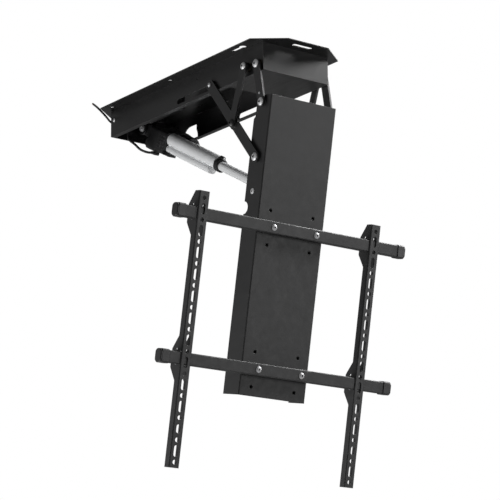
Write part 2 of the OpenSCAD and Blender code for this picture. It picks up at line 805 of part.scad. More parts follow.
module rail_left() rail(rail_left_x);

module rail_right() rail(rail_right_x);

// Lock screws that press on the rear face of each bar
lock_r = 2.2;
lock_block = 5;

module rail_screws(x) translate([x, 0, 0]) plate_frame() for (u = [bar_u, bar_u + bar_pitch]) {
    color(steel_black) translate([-rail_w/2 + rail_t, u - 7, rail_gap + 0.2]) difference() {
        cube([rail_w - 2*rail_t, 14, lock_block]);
        translate([rail_w/2 - rail_t, 7, -1]) cylinder(r = lock_r + snug, h = lock_block + 2);
    }
    color(zinc_bright) translate([0, u, rail_gap]) {
        cylinder(r = lock_r, h = 7);
        translate([0, 0, 7]) cylinder(r = 4, h = 3, $fn = 6);
    }
}

module rail_left_screws() rail_screws(rail_left_x);

module rail_right_screws() rail_screws(rail_right_x);

// Actuator, drawn along its own axis

duct_r = 3.5;
duct_half = 10;
duct_top = 8;
duct_corner = 7;
duct_short = 18;
lobe_rise = 3.2;
cap_r = 13.5;
cap_l = 11;
cap_lug = [0, 14.5];
cap_lug_r = 4.5;

// The lower lobe's outline, square to the rod
module duct_section(inset) round_rect(
    -duct_half + inset, -tube_drop + inset, duct_half - inset, -duct_top - inset, duct_corner - inset
);

module actuator_tube() color(silver) barrel_frame() translate([0, 0, tube_s]) difference() {
    union() {
        linear_extrude(tube_l) translate([0, lobe_rise]) circle(d = tube_d);
        linear_extrude(tube_l - duct_short) duct_section(0);
    }
    translate([0, 0, -1]) cylinder(r = rod_d/2 + 0.8, h = tube_l + 2);
    translate([0, 0, -1]) linear_extrude(tube_l) translate([-4, -tube_drop + 6]) slot_2d(8, 2*duct_r);
}

module tube_end_cap() color(plastic_black) barrel_frame() translate([0, 0, tube_s + tube_l]) difference() {
    union() {
        cylinder(r = cap_r, h = cap_l);
        translate(cap_lug) cylinder(r = cap_lug_r, h = cap_l);
    }
    translate([0, 0, -1]) cylinder(r = rod_d/2 + pivot_gap, h = cap_l + 2);
}

module tube_plug() color(silver) barrel_frame() translate([0, 0, tube_s + tube_l - duct_short])
    for (layer = [[0.8, 0.5], [1.6, 1.2], [2.2, 2.2]]) linear_extrude(layer[0]) difference() {
        duct_section(layer[1]);
        translate([0, lobe_rise]) circle(r = tube_d/2 + slip);
    }

// Outline of the gear housing, square to the rod
module housing_section(drop) {
    case_section(drop);
    motor_section();
}

module case_section(drop) round_rect(-housing_side, -drop, housing_side, housing_rise, 6);

module motor_section() {
    motor_low = motor_place[1] - motor_d/2;
    translate([0, motor_low]) square([motor_place[0], housing_rise - motor_low]);
    translate(motor_place) circle(r = motor_d/2 + 1.5);
}

module gear_pocket() {
    circle(r = 14);
    translate([0, -10]) square([motor_place[0], 20]);
    translate(motor_place) circle(r = 10);
}

bearing_r = 11;
tongue_half = 9;
tongue_l = 14;
skirt_s = 18;
skirt_half = 8;
lug_half = 9;
lug_r = 12;
journal_r = 4;
pocket_s = gear_s - 2;
boss_s = cover_s - 6;
boss_r = 4;
boss_x = [-12, -2];
boss_fall = cable_d/2 + seat;

// The cable's last points keep with the boss, as [x, s, v] in the barrel's frame
cable_tail = [
    [-24, boss_s - 2, -housing_drop - boss_fall - 1.4],
    [-18, boss_s, -housing_drop - boss_fall],
    [boss_x[0] - seat, boss_s, -housing_drop - boss_fall]
];
cable_route = concat(
    [for (p = cable_points) p + [0, rear_y, 0]],
    [for (p = cable_tail) concat(p[0], from_barrel(p[1], p[2]))]
);

module gear_housing() color(plastic_black) barrel_frame() {
    difference() {
        union() {
            translate([0, 0, housing_s]) linear_extrude(cover_s - housing_s) housing_section(housing_drop);
            translate([0, 0, skirt_s]) linear_extrude(housing_s - skirt_s)
                round_rect(-skirt_half, -housing_drop + 2, skirt_half, -lug_r - 3, 3);
            rod_x(lug_r, -lug_half, lug_half);
            translate([-lug_half, -lug_r, 0]) cube([2*lug_half, 2*lug_r, housing_s]);
        }
        translate([0, 0, pocket_s]) linear_extrude(cover_s) gear_pocket();
        translate([0, 0, pocket_s - 10]) cylinder(r = journal_r + pivot_gap, h = 12);
        rod_x(clevis_d/2 + pivot_gap, -lug_half - 1, lug_half + 1);
    }
    translate([idler_x, 0, pocket_s]) cylinder(r = 3, h = gear_t + 3);
    translate([0, -housing_drop - boss_fall, boss_s]) rod_x(boss_r, boss_x[0], boss_x[1]);
}

// The cover also holds the motor's front half and reaches a tongue under the tube
module gear_cover() color(plastic_black) barrel_frame() {
    difference() {
        translate([0, 0, cover_s]) difference() {
            union() {
                linear_extrude(tube_s - cover_s) case_section(cover_drop);
                linear_extrude(sleeve_s - cover_s) motor_section();
            }
            translate([0, 0, -1]) cylinder(r = bearing_r + snug, h = tube_s);
        }
        translate([motor_place[0], motor_place[1], cover_s - 1]) cylinder(r = 6, h = tube_s - cover_s);
        translate([motor_place[0], motor_place[1], motor_s]) cylinder(r = motor_d/2 + snug, h = tube_s);
    }
    tongue_t = cover_drop - tube_drop - slip;
    translate([-tongue_half, -cover_drop, tube_s]) cube([2*tongue_half, tongue_t, tongue_l]);
}

module housing_screws() color(zinc_bright) barrel_frame() {
    for (p = [[-12, 10], [-12, -23], [12, -23]]) housing_screw(p);
    for (a = [-50, 50]) housing_screw(motor_place + 14*[cos(a), sin(a)]);
    translate([cap_lug[0], cap_lug[1], tube_s + tube_l + cap_l]) rotate([0, -90, 0]) button_head(2.6, 1.8);
}

module housing_screw(p) translate([p[0], p[1], housing_s]) rotate([0, 90, 0]) button_head(2.6, 1.8);

module actuator_motor() color(plastic_black) barrel_frame()
    translate([motor_place[0], motor_place[1], motor_s]) {
        difference() {
            rotate_extrude() difference() {
                polygon([
                    [0, 0], [motor_d/2, 0], [motor_d/2, motor_l - 4], [motor_d/2 - 1.2, motor_l - 1.2],
                    [motor_d/2 - 4, motor_l], [0, motor_l]
                ]);
                translate([motor_d/2 + 0.4, motor_l - 14]) circle(r = 1);
            }
            translate([0, 0, -1]) cylinder(r = 3 + pivot_gap, h = 15);
        }
        translate([0, 0, motor_l]) cylinder(r = 6, h = 2.5);
    }

module screw_bearing() color(zinc_bright) barrel_frame() translate([0, 0, cover_s + 1]) difference() {
    cylinder(r = bearing_r - snug, h = 9);
    translate([0, 0, -1]) cylinder(r = screw_d/2 + pivot_gap, h = 11);
}

module actuator_rod() color(silver) barrel_frame() translate([0, 0, rod_s]) difference() {
    cylinder(r = rod_d/2, h = end_s - rod_s);
    translate([0, 0, -1]) cylinder(r = rod_bore/2, h = end_s - rod_s - 20);
}

module rod_end() color(silver) barrel_frame() {
    difference() {
        union() {
            rod_x(11, -12, 12);
            translate([0, 0, end_s]) cylinder(r = rod_d/2, h = 8);
            translate([-9, -8, end_s + 6]) cube([18, 16, reach - end_s - 6]);
            translate([0, 0, reach]) rod_x(11, -12, 12);
        }
        translate([0, 0, reach]) rod_x(cross_pin_d/2 + snug, -13, 13);
        rod_x(13, -14, 14);
    }
}

module cross_pin() color(zinc_bright) at_yz(pin_rest) {
    rod_x(cross_pin_d/2, -flange_x + plate_t + 1, flange_x - plate_t - 1);
    both_sides() ring_x(9, cross_pin_d/2 + snug, -16, -12 - slip);
}

module drive_nut() color(brass_yellow) barrel_frame() translate([0, 0, nut_s]) difference() {
    union() {
        cylinder(r = rod_d/2 - 0.2, h = nut_l);
        translate([0, 0, nut_l]) cylinder(r = rod_bore/2 - slip, h = 6);
    }
    translate([0, 0, -1]) cylinder(r = screw_d/2 + 0.06, h = nut_l + 8);
}

module lead_screw() color(zinc_bright) barrel_frame() {
    translate([0, 0, pocket_s]) cylinder(r = screw_d/2, h = nut_s + nut_l + 26 - pocket_s);
    translate([0, 0, pocket_s - 9]) cylinder(r = journal_r, h = 9);
}

module screw_gear() color(zinc_bright) barrel_frame()
    translate([0, 0, gear_s]) spur_gear(screw_teeth, screw_d + 2*snug, 0);

module idler_gear() color(zinc_bright) barrel_frame()
    translate([idler_x, 0, gear_s]) spur_gear(idler_teeth, 6 + 2*pivot_gap, 180/idler_teeth);

module motor_pinion() color(zinc_bright) barrel_frame() translate([motor_place[0], motor_place[1], gear_s]) {
    spur_gear(pinion_teeth, 5, 0);
    cylinder(r = 3, h = motor_s + 10 - gear_s);
}

ceiling_plate();
side_wall_left();
side_wall_right();
front_wall();
rear_wall();
actuator_bracket();
clevis_pin();
control_box();
control_box_cover();
circuit_board();
power_inlet();
inner_leads();
antenna_grommet();
antenna_lead();
motor_cable();
motor_cable_gland();
box_screws();
box_pivot_bolts();
box_pivot_spacers();
front_link_left();
front_link_right();
front_link_rivets();
mid_link_left();
mid_link_right();
long_link_left();
long_link_right();
mid_pivot_bolts();
long_link_bolts();
slider_rollers();
slider_washers();
tv_plate();
plate_inserts();
plate_pivot_bolts();
plate_washers();
cross_pin_screws();
upper_bar();
lower_bar();
bar_end_caps();
bar_screws();
rail_left();
rail_right();
rail_left_screws();
rail_right_screws();
actuator_tube();
tube_end_cap();
tube_plug();
gear_housing();
gear_cover();
housing_screws();
actuator_motor();
screw_bearing();
actuator_rod();
rod_end();
cross_pin();
drive_nut();
lead_screw();
screw_gear();
idler_gear();
motor_pinion();
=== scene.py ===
import math

import bpy
from mathutils import Matrix, Vector


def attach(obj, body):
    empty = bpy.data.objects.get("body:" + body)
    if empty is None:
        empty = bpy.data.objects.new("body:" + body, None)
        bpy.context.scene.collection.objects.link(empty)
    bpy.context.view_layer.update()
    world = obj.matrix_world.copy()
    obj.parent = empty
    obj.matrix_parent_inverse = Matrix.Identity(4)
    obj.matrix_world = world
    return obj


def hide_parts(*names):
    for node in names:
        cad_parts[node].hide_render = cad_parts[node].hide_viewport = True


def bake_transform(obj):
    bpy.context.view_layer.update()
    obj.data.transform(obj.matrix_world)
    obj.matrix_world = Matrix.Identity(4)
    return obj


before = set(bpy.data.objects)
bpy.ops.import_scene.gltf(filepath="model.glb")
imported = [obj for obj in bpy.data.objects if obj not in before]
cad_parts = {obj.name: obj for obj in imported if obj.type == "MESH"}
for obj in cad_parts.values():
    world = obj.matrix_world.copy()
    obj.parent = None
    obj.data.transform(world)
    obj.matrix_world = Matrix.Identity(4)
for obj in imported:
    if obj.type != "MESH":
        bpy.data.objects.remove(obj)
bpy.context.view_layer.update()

MM = 0.001

# Places of the part that the pieces are worked out from, in millimetres and degrees

BOX_HALF_WIDTH = 77.5
BOX_HALF_LENGTH = 260.0
SHEET = 2.0
FRONT_PIVOT = (-244.0, -41.5)
MIDDLE_PIVOT = (-213.0, -39.0)

PLATE_TILT = 78.8
PLATE_TOP = Vector((0.0, -284.5, -111.8))
PLATE_SCREWS_X = (-50.0, 50.0)
BARS_U = (248.5, 513.5)
RAIL_PLACES = {"rail_left": -214.5, "rail_right": 189.0}

CLEVIS = Vector((0.0, 240.0, -30.0))
PIN_PLACE = (183.0, 26.5)
COVER_START = 74.0
SLEEVE_END = 92.0
TUBE_START = 102.5
TUBE_LENGTH = 183.5
CAP_LENGTH = 11.0
ROD_RADIUS = 9.5
MOTOR_PLACE = (36.0, 0.0)
MOTOR_RADIUS = 19.0
MOTOR_FRONT = 125.0

TILT = math.radians(PLATE_TILT)
DOWN_PLATE = Vector((0.0, math.cos(TILT), -math.sin(TILT)))
BEHIND_PLATE = Vector((0.0, math.sin(TILT), math.cos(TILT)))
PIN = PLATE_TOP + DOWN_PLATE * PIN_PLACE[0] + BEHIND_PLATE * PIN_PLACE[1]
ROD_RUN = (PIN - CLEVIS).normalized()
ROD_RISE = Vector((0.0, ROD_RUN.z, -ROD_RUN.y))
ACTUATOR_ANGLE = math.atan2(ROD_RUN.z, -ROD_RUN.y)


def axes_matrix(x, y, z, origin):
    """A place in space from three axes and an origin in millimetres, as a matrix in metres."""
    matrix = Matrix.Identity(4)
    for column, axis in enumerate((x, y, z)):
        matrix.col[column][:3] = axis
    matrix.translation = origin * MM
    return matrix


ACROSS = Vector((1, 0, 0))
PLATE_FRAME = axes_matrix(ACROSS, DOWN_PLATE, BEHIND_PLATE, PLATE_TOP)
BARREL_FRAME = axes_matrix(ACROSS, ROD_RISE, ROD_RUN, CLEVIS)
BOX_FRAME = Matrix.Identity(4)

# Camera: the photograph's viewing angle, worked out from the part's corners in it. Its picture
# and focal length are in pixels, its places and sensor in millimetres, its clip range in metres.

PHOTO_SIDE = 500.0
FOCAL = 2316.5
SENSOR = 36.0
CAMERA_TARGET = Vector((18.6, -85.8, -355.6))
CAMERA_AZIMUTH = -36.795
CAMERA_ELEVATION = -14.8075
CAMERA_ROLL = 0.354
CAMERA_DISTANCE = 4465.5
CAMERA_CLIP = (0.1, 60.0)


def make_camera():
    azimuth = math.radians(CAMERA_AZIMUTH)
    elevation = math.radians(CAMERA_ELEVATION)
    level = math.cos(elevation)
    back = Vector((math.sin(azimuth) * level, -math.cos(azimuth) * level, math.sin(elevation)))
    side = (-back).cross(Vector((0, 0, 1))).normalized()
    up = back.cross(side)
    roll = math.radians(CAMERA_ROLL)
    right = side * math.cos(roll) - up * math.sin(roll)
    top = up * math.cos(roll) + side * math.sin(roll)
    data = bpy.data.cameras.new("camera")
    data.sensor_width = SENSOR
    data.lens = FOCAL / PHOTO_SIDE * data.sensor_width
    data.clip_start, data.clip_end = CAMERA_CLIP
    camera = bpy.data.objects.new("camera", data)
    bpy.context.scene.collection.objects.link(camera)
    camera.matrix_world = axes_matrix(right, top, back, CAMERA_TARGET + back * CAMERA_DISTANCE)
    bpy.context.scene.camera = camera


make_camera()

# Material helpers. Lengths are in metres, as the shader nodes take them.

RECESS_SHADE = (0.30, 0.75)
EDGE_LEAN = (0.02, 0.12)
MASK_SAMPLES = 8
BEVEL_SAMPLES = 4


def brighter(colour, factor):
    return tuple(c * factor for c in colour)


class Nodes:
    """Adds shader nodes to one material and joins them."""

    def __init__(self, name):
        self.material = bpy.data.materials.new(name)
        self.material.use_nodes = True
        self.tree = self.material.node_tree
        self.shader = self.tree.nodes["Principled BSDF"]
        self.coordinates = self.tree.nodes.new("ShaderNodeTexCoord").outputs["Object"]

    def add(self, kind, **values):
        """A node, with its settings and its inputs' values given by name."""
        node = self.tree.nodes.new(kind)
        for key, value in values.items():
            if hasattr(node, key):
                setattr(node, key, value)
            else:
                node.inputs[key.replace("_", " ")].default_value = value
        return node

    def link(self, source, target):
        self.tree.links.new(source, target)

    def mapped(self, source, kind, value):
        """Coordinates that are turned (Rotation) or stretched (Scale)."""
        mapping = self.add("ShaderNodeMapping")
        mapping.inputs[kind].default_value = value
        self.link(source, mapping.inputs["Vector"])
        return mapping.outputs["Vector"]

    def noise_on(self, vector, scale, detail, roughness):
        node = self.add("ShaderNodeTexNoise", Scale=scale, Detail=detail, Roughness=roughness)
        self.link(vector, node.inputs["Vector"])
        return node.outputs["Fac"]

    def noise(self, scale, detail, roughness=0.55, stretch=(1, 1, 1)):
        stretched = self.mapped(self.coordinates, "Scale", stretch)
        return self.noise_on(stretched, scale, detail, roughness)

    def ramp(self, source, stops):
        """Colours at places along a source, as (place, colour) pairs."""
        node = self.add("ShaderNodeValToRGB")
        while len(node.color_ramp.elements) < len(stops):
            node.color_ramp.elements.new(0.5)
        for element, (place, colour) in zip(node.color_ramp.elements, stops):
            element.position = place
            element.color = (*colour, 1.0)
        self.link(source, node.inputs["Fac"])
        return node.outputs["Color"]

    def span(self, source, low, high, start=0.3, end=0.7):
        """From low to high while the source goes from start to end, a noise's usual range."""
        node = self.add("ShaderNodeMapRange")
        node.inputs["From Min"].default_value = start
        node.inputs["From Max"].default_value = end
        node.inputs["To Min"].default_value = low
        node.inputs["To Max"].default_value = high
        self.link(source, node.inputs["Value"])
        return node.outputs["Result"]

    def mix(self, factor, a, b):
        """Two colours, each a tuple or a socket, mixed by a socket."""
        node = self.add("ShaderNodeMix", data_type="RGBA")
        self.link(factor, node.inputs["Factor"])
        for name, value in (("A", a), ("B", b)):
            target = [i for i in node.inputs if i.name == name and i.type == "RGBA"][0]
            if isinstance(value, tuple):
                target.default_value = (*value, 1.0)
            else:
                self.link(value, target)
        return [o for o in node.outputs if o.type == "RGBA"][0]

    def times(self, a, b):
        """A socket times a socket or a number."""
        node = self.add("ShaderNodeMath", operation="MULTIPLY")
        self.link(a, node.inputs[0])
        if isinstance(b, float):
            node.inputs[1].default_value = b
        else:
            self.link(b, node.inputs[1])
        return node.outputs["Value"]

    def recess_shade_mask(self, reach):
        """1 deep in a recess, 0 on an open face: the mask for painted shade in recesses."""
        node = self.add("ShaderNodeAmbientOcclusion", samples=MASK_SAMPLES, Distance=reach)
        return self.span(node.outputs["AO"], 1.0, 0.0, *RECESS_SHADE)

    def soft_normal(self, radius):
        """The surface's normal with its sharp edges rounded."""
        return self.add("ShaderNodeBevel", samples=BEVEL_SAMPLES, Radius=radius).outputs["Normal"]

    def edges(self, radius):
        """1 along sharp edges, 0 elsewhere, from how far the rounded normal leans."""
        rounded = self.soft_normal(radius)
        geometry = self.add("ShaderNodeNewGeometry")
        dot = self.add("ShaderNodeVectorMath", operation="DOT_PRODUCT")
        self.link(rounded, dot.inputs[0])
        self.link(geometry.outputs["Normal"], dot.inputs[1])
        return self.span(dot.outputs["Value"], 0.0, 1.0, 1.0 - EDGE_LEAN[0], 1.0 - EDGE_LEAN[1])

    def bump(self, height, strength, distance, normal=None):
        node = self.add("ShaderNodeBump", Strength=strength, Distance=distance)
        self.link(height, node.inputs["Height"])
        if normal is not None:
            self.link(normal, node.inputs["Normal"])
        return node.outputs["Normal"]

    def set(self, **values):
        """Puts numbers, colours or sockets on the surface shader, and gives the material back."""
        for key, value in values.items():
            socket = self.shader.inputs[key.replace("_", " ")]
            if isinstance(value, tuple):
                socket.default_value = (*value, 1.0)
            elif isinstance(value, float):
                socket.default_value = value
            else:
                self.link(value, socket)
        return self.material


# Materials


def powder_coat(name, colour, worn, rough=0.46, edge=0.0005):
    """Fine-textured black powder coat: soft orange peel, faint cloudiness, rubbed edges."""
    n = Nodes(name)
    rubbed_tone = (0.11, 0.11, 0.112)
    cloud = n.noise(scale=9.0, detail=4.0)
    fine = n.noise(scale=900.0, detail=2.0)
    peel = n.noise(scale=420.0, detail=3.0, roughness=0.6)
    scuff = n.noise(scale=60.0, detail=5.0, roughness=0.7, stretch=(1.0, 0.18, 1.0))
    base = n.mix(n.span(cloud, 0.0, 1.0), colour, brighter(colour, 1.6))
    base = n.mix(n.span(fine, 0.0, 0.25, 0.55, 0.75), base, brighter(colour, 2.4))
    rubbed = n.times(n.edges(0.0012), n.span(scuff, 0.0, worn, 0.35, 0.65))
    base = n.mix(rubbed, base, rubbed_tone)
    normal = n.bump(peel, strength=0.22, distance=0.0004, normal=n.soft_normal(edge))
    normal = n.bump(fine, strength=0.12, distance=0.0002, normal=normal)
    roughness = n.span(scuff, rough - 0.05, rough + 0.07)
    return n.set(Base_Color=base, Metallic=0.0, Roughness=roughness, Specular_IOR_Level=0.5,
                 Normal=normal)


def bright_zinc(name):
    """Bright zinc plating: cool, a little cloudy, turning marks, stains, and painted shade in the
    sockets.
    """
    n = Nodes(name)
    tones = [(0.30, (0.42, 0.43, 0.44)), (0.55, (0.58, 0.58, 0.59)), (0.75, (0.50, 0.50, 0.485))]
    stained = (0.22, 0.215, 0.20)
    # The colour of the painted shade in sockets and recesses
    painted_socket_shade = (0.02, 0.02, 0.02)
    cloud = n.noise(scale=160.0, detail=4.0)
    marks = n.noise(scale=1400.0, detail=2.0, roughness=0.5, stretch=(1.0, 0.1, 0.1))
    stain = n.noise(scale=420.0, detail=5.0, roughness=0.65)
    base = n.ramp(cloud, tones)
    base = n.mix(n.span(stain, 0.0, 0.6, 0.5, 0.75), base, stained)
    # Painted shade: recesses found by ambient occlusion are darkened to near black.
    base = n.mix(n.recess_shade_mask(0.005), base, painted_socket_shade)
    normal = n.bump(marks, strength=0.15, distance=0.0001, normal=n.soft_normal(0.0003))
    roughness = n.span(cloud, 0.42, 0.56)
    return n.set(Base_Color=base, Metallic=0.55, Roughness=roughness, Normal=normal)


def anodised_tube(name, along):
    """Silver anodised extrusion: fine draw lines along its run and a satin surface."""
    n = Nodes(name)
    dull, bright, cloudy = (0.74, 0.75, 0.76), (0.88, 0.89, 0.90), (0.62, 0.625, 0.63)
    turned = n.mapped(n.coordinates, "Rotation", (along, 0.0, 0.0))
    stretched = n.mapped(turned, "Scale", (1.0, 1.0, 0.012))
    draw = n.noise_on(stretched, scale=1500.0, detail=3.0, roughness=0.6)
    cloud = n.noise(scale=30.0, detail=3.0)
    base = n.mix(n.span(draw, 0.0, 1.0), dull, bright)
    base = n.mix(n.span(cloud, 0.0, 0.30, 0.4, 0.75), base, cloudy)
    normal = n.bump(draw, strength=0.10, distance=0.0001, normal=n.soft_normal(0.0006))
    roughness = n.span(draw, 0.34, 0.50)
    return n.set(Base_Color=base, Metallic=0.40, Roughness=roughness, Normal=normal)


def satin_chrome(name):
    """Ground and chromed push rod: rings of polishing and a thin film of grease in patches."""
    n = Nodes(name)
    bright, greasy = (0.86, 0.87, 0.88), (0.72, 0.72, 0.71)
    rings = n.noise(scale=900.0, detail=2.0, roughness=0.5, stretch=(0.02, 1.0, 1.0))
    film = n.noise(scale=38.0, detail=4.0, roughness=0.6)
    base = n.mix(n.span(film, 0.0, 0.5, 0.5, 0.75), bright, greasy)
    normal = n.bump(rings, strength=0.02, distance=0.00002, normal=n.soft_normal(0.0006))
    roughness = n.span(film, 0.20, 0.32, 0.35, 0.7)
    return n.set(Base_Color=base, Metallic=0.35, Roughness=roughness, Normal=normal)


def moulded_plastic(name, colour, rough):
    """Grained black moulding: spark texture, slight sheen changes and pale rubbed corners."""
    n = Nodes(name)
    rubbed_tone = (0.075, 0.075, 0.078)
    grain = n.add("ShaderNodeTexVoronoi", Scale=1300.0)
    n.link(n.coordinates, grain.inputs["Vector"])
    cloud = n.noise(scale=22.0, detail=4.0)
    base = n.mix(n.span(cloud, 0.0, 1.0), colour, brighter(colour, 1.8))
    base = n.mix(n.times(n.edges(0.0015), n.span(cloud, 0.1, 0.5)), base, rubbed_tone)
    normal = n.bump(grain.outputs["Distance"], strength=0.16, distance=0.0002,
                    normal=n.soft_normal(0.0008))
    roughness = n.span(cloud, rough - 0.07, rough + 0.08)
    return n.set(Base_Color=base, Metallic=0.0, Roughness=roughness, Normal=normal)


def motor_finish(name):
    """Satin painted steel can with rolled marks round it and rubbed rims."""
    n = Nodes(name)
    dark, light, rubbed_tone = (0.008, 0.008, 0.009), (0.018, 0.018, 0.019), (0.30, 0.30, 0.31)
    rolled = n.noise(scale=700.0, detail=2.0, roughness=0.5, stretch=(0.05, 1.0, 1.0))
    cloud = n.noise(scale=35.0, detail=4.0)
    base = n.mix(n.span(cloud, 0.0, 1.0), dark, light)
    base = n.mix(n.times(n.edges(0.0012), n.span(cloud, 0.2, 0.9, 0.35, 0.65)), base, rubbed_tone)
    normal = n.bump(rolled, strength=0.10, distance=0.0001, normal=n.soft_normal(0.0005))
    roughness = n.span(cloud, 0.26, 0.40)
    return n.set(Base_Color=base, Metallic=0.15, Roughness=roughness, Normal=normal)


def cord_jacket(name):
    """Soft black jacket with slight waves, dust and shine from handling."""
    n = Nodes(name)
    clean, dusty = (0.010, 0.010, 0.011), (0.045, 0.044, 0.042)
    dust = n.noise(scale=240.0, detail=4.0)
    wave = n.noise(scale=70.0, detail=2.0)
    base = n.mix(n.span(dust, 0.0, 0.6, 0.5, 0.8), clean, dusty)
    roughness = n.span(wave, 0.38, 0.56)
    normal = n.bump(wave, strength=0.12, distance=0.0003)
    return n.set(Base_Color=base, Metallic=0.0, Roughness=roughness, Normal=normal)


def soft_rubber(name):
    """Matt black rubber with a dusty bloom and fine moulding grain."""
    n = Nodes(name)
    clean, bloomed = (0.012, 0.012, 0.0125), (0.040, 0.040, 0.040)
    bloom = n.noise(scale=90.0, detail=4.0)
    grain = n.noise(scale=1500.0, detail=2.0)
    base = n.mix(n.span(bloom, 0.0, 0.8, 0.4, 0.8), clean, bloomed)
    normal = n.bump(grain, strength=0.18, distance=0.0002, normal=n.soft_normal(0.0004))
    roughness = n.span(bloom, 0.58, 0.76)
    return n.set(Base_Color=base, Metallic=0.0, Roughness=roughness, Normal=normal)


def circuit_finish(name):
    """Green solder mask with copper tracks showing through."""
    n = Nodes(name)
    mask, over_track, shaded = (0.008, 0.11, 0.045), (0.03, 0.22, 0.09), (0.005, 0.07, 0.03)
    tracks = n.add("ShaderNodeTexBrick", Scale=160.0)
    n.link(n.coordinates, tracks.inputs["Vector"])
    cloud = n.noise(scale=90.0, detail=3.0)
    base = n.mix(n.span(tracks.outputs["Fac"], 0.0, 0.6, 0.0, 1.0), mask, over_track)
    base = n.mix(n.span(cloud, 0.0, 0.3, 0.4, 0.8), base, shaded)
    normal = n.bump(tracks.outputs["Fac"], strength=0.2, distance=0.0001,
                    normal=n.soft_normal(0.0004))
    return n.set(Base_Color=base, Metallic=0.0, Roughness=0.28, Normal=normal)


def machined_brass(name):
    """Turned brass with tool marks and a little tarnish."""
    n = Nodes(name)
    fresh, tarnished = (0.70, 0.50, 0.20), (0.42, 0.28, 0.11)
    marks = n.noise(scale=1600.0, detail=2.0, roughness=0.5, stretch=(0.05, 1.0, 1.0))
    tarnish = n.noise(scale=140.0, detail=4.0)
    base = n.mix(n.span(tarnish, 0.0, 1.0, 0.35, 0.75), fresh, tarnished)
    normal = n.bump(marks, strength=0.12, distance=0.0001, normal=n.soft_normal(0.0003))
    roughness = n.span(tarnish, 0.22, 0.42)
    return n.set(Base_Color=base, Metallic=1.0, Roughness=roughness, Normal=normal)


def copper_core(name):
    """The cut ends of fine copper strands."""
    n = Nodes(name)
    dark, bright = (0.62, 0.30, 0.16), (0.78, 0.44, 0.26)
    strands = n.noise(scale=2600.0, detail=2.0)
    base = n.mix(n.span(strands, 0.0, 1.0), dark, bright)
    normal = n.bump(strands, strength=0.3, distance=0.0002)
    return n.set(Base_Color=base, Metallic=1.0, Roughness=0.35, Normal=normal)


def pale_label(name):
    """Plain silver foil label without any print, with creases."""
    n = Nodes(name)
    grey, pale = (0.50, 0.50, 0.50), (0.64, 0.64, 0.63)
    crease = n.noise(scale=260.0, detail=4.0)
    base = n.mix(n.span(crease, 0.0, 1.0, 0.35, 0.7), grey, pale)
    roughness = n.span(crease, 0.34, 0.52)
    normal = n.bump(crease, strength=0.10, distance=0.0002)
    return n.set(Base_Color=base, Metallic=0.35, Roughness=roughness, Normal=normal)


def grease_film(name):
    """Dark used grease: a thin wet smear."""
    n = Nodes(name)
    thin_tone, thick_tone = (0.030, 0.022, 0.012), (0.055, 0.040, 0.020)
    thick = n.noise(scale=500.0, detail=3.0)
    base = n.mix(n.span(thick, 0.0, 1.0), thin_tone, thick_tone)
    roughness = n.span(thick, 0.12, 0.26)
    normal = n.bump(thick, strength=0.3, distance=0.0004)
    return n.set(Base_Color=base, Metallic=0.0, Roughness=roughness, Normal=normal)


STEEL = powder_coat("black_powder_coat", (0.0090, 0.0090, 0.0093),
                    worn=0.55, rough=0.46, edge=0.0016)
# A darker copy of the black powder coat: painted shade for the box's walls and the parts fitted to
# them.
STEEL_BOX_SHADED = powder_coat("black_powder_coat_box_shaded", (0.0040, 0.0040, 0.0042),
                        worn=0.45, rough=0.36)
# A far darker copy of the black powder coat: painted shade for the ceiling plate, whose underside
# faces down.
STEEL_CEILING_SHADED = powder_coat("black_powder_coat_ceiling_shaded", (0.0012, 0.0012, 0.0013),
                            worn=0.30, rough=0.30, edge=0.0012)
STEEL_RAIL = powder_coat("black_powder_coat_rail", (0.0120, 0.0120, 0.0125),
                         worn=0.65, rough=0.42)
STEEL_BAR = powder_coat("black_powder_coat_bar", (0.0090, 0.0090, 0.0094),
                        worn=0.65, rough=0.42, edge=0.0014)
STEEL_LINK = powder_coat("black_powder_coat_link", (0.0070, 0.0070, 0.0073),
                         worn=0.75, rough=0.42)
ZINC = bright_zinc("bright_zinc")
TUBE = anodised_tube("silver_anodised", -ACTUATOR_ANGLE)
CHROME = satin_chrome("satin_chrome")
PLASTIC = moulded_plastic("black_moulding", (0.0050, 0.0050, 0.0053), rough=0.40)
PLASTIC_CAP = moulded_plastic("black_cap_moulding", (0.012, 0.012, 0.0125), rough=0.40)
MOTOR = motor_finish("motor_paint")
JACKET = cord_jacket("cord_jacket")
RUBBER = soft_rubber("soft_rubber")
BOARD = circuit_finish("solder_mask")
BRASS = machined_brass("machined_brass")
COPPER = copper_core("copper_strands")
LABEL = pale_label("plain_foil_label")
GREASE = grease_film("grease")

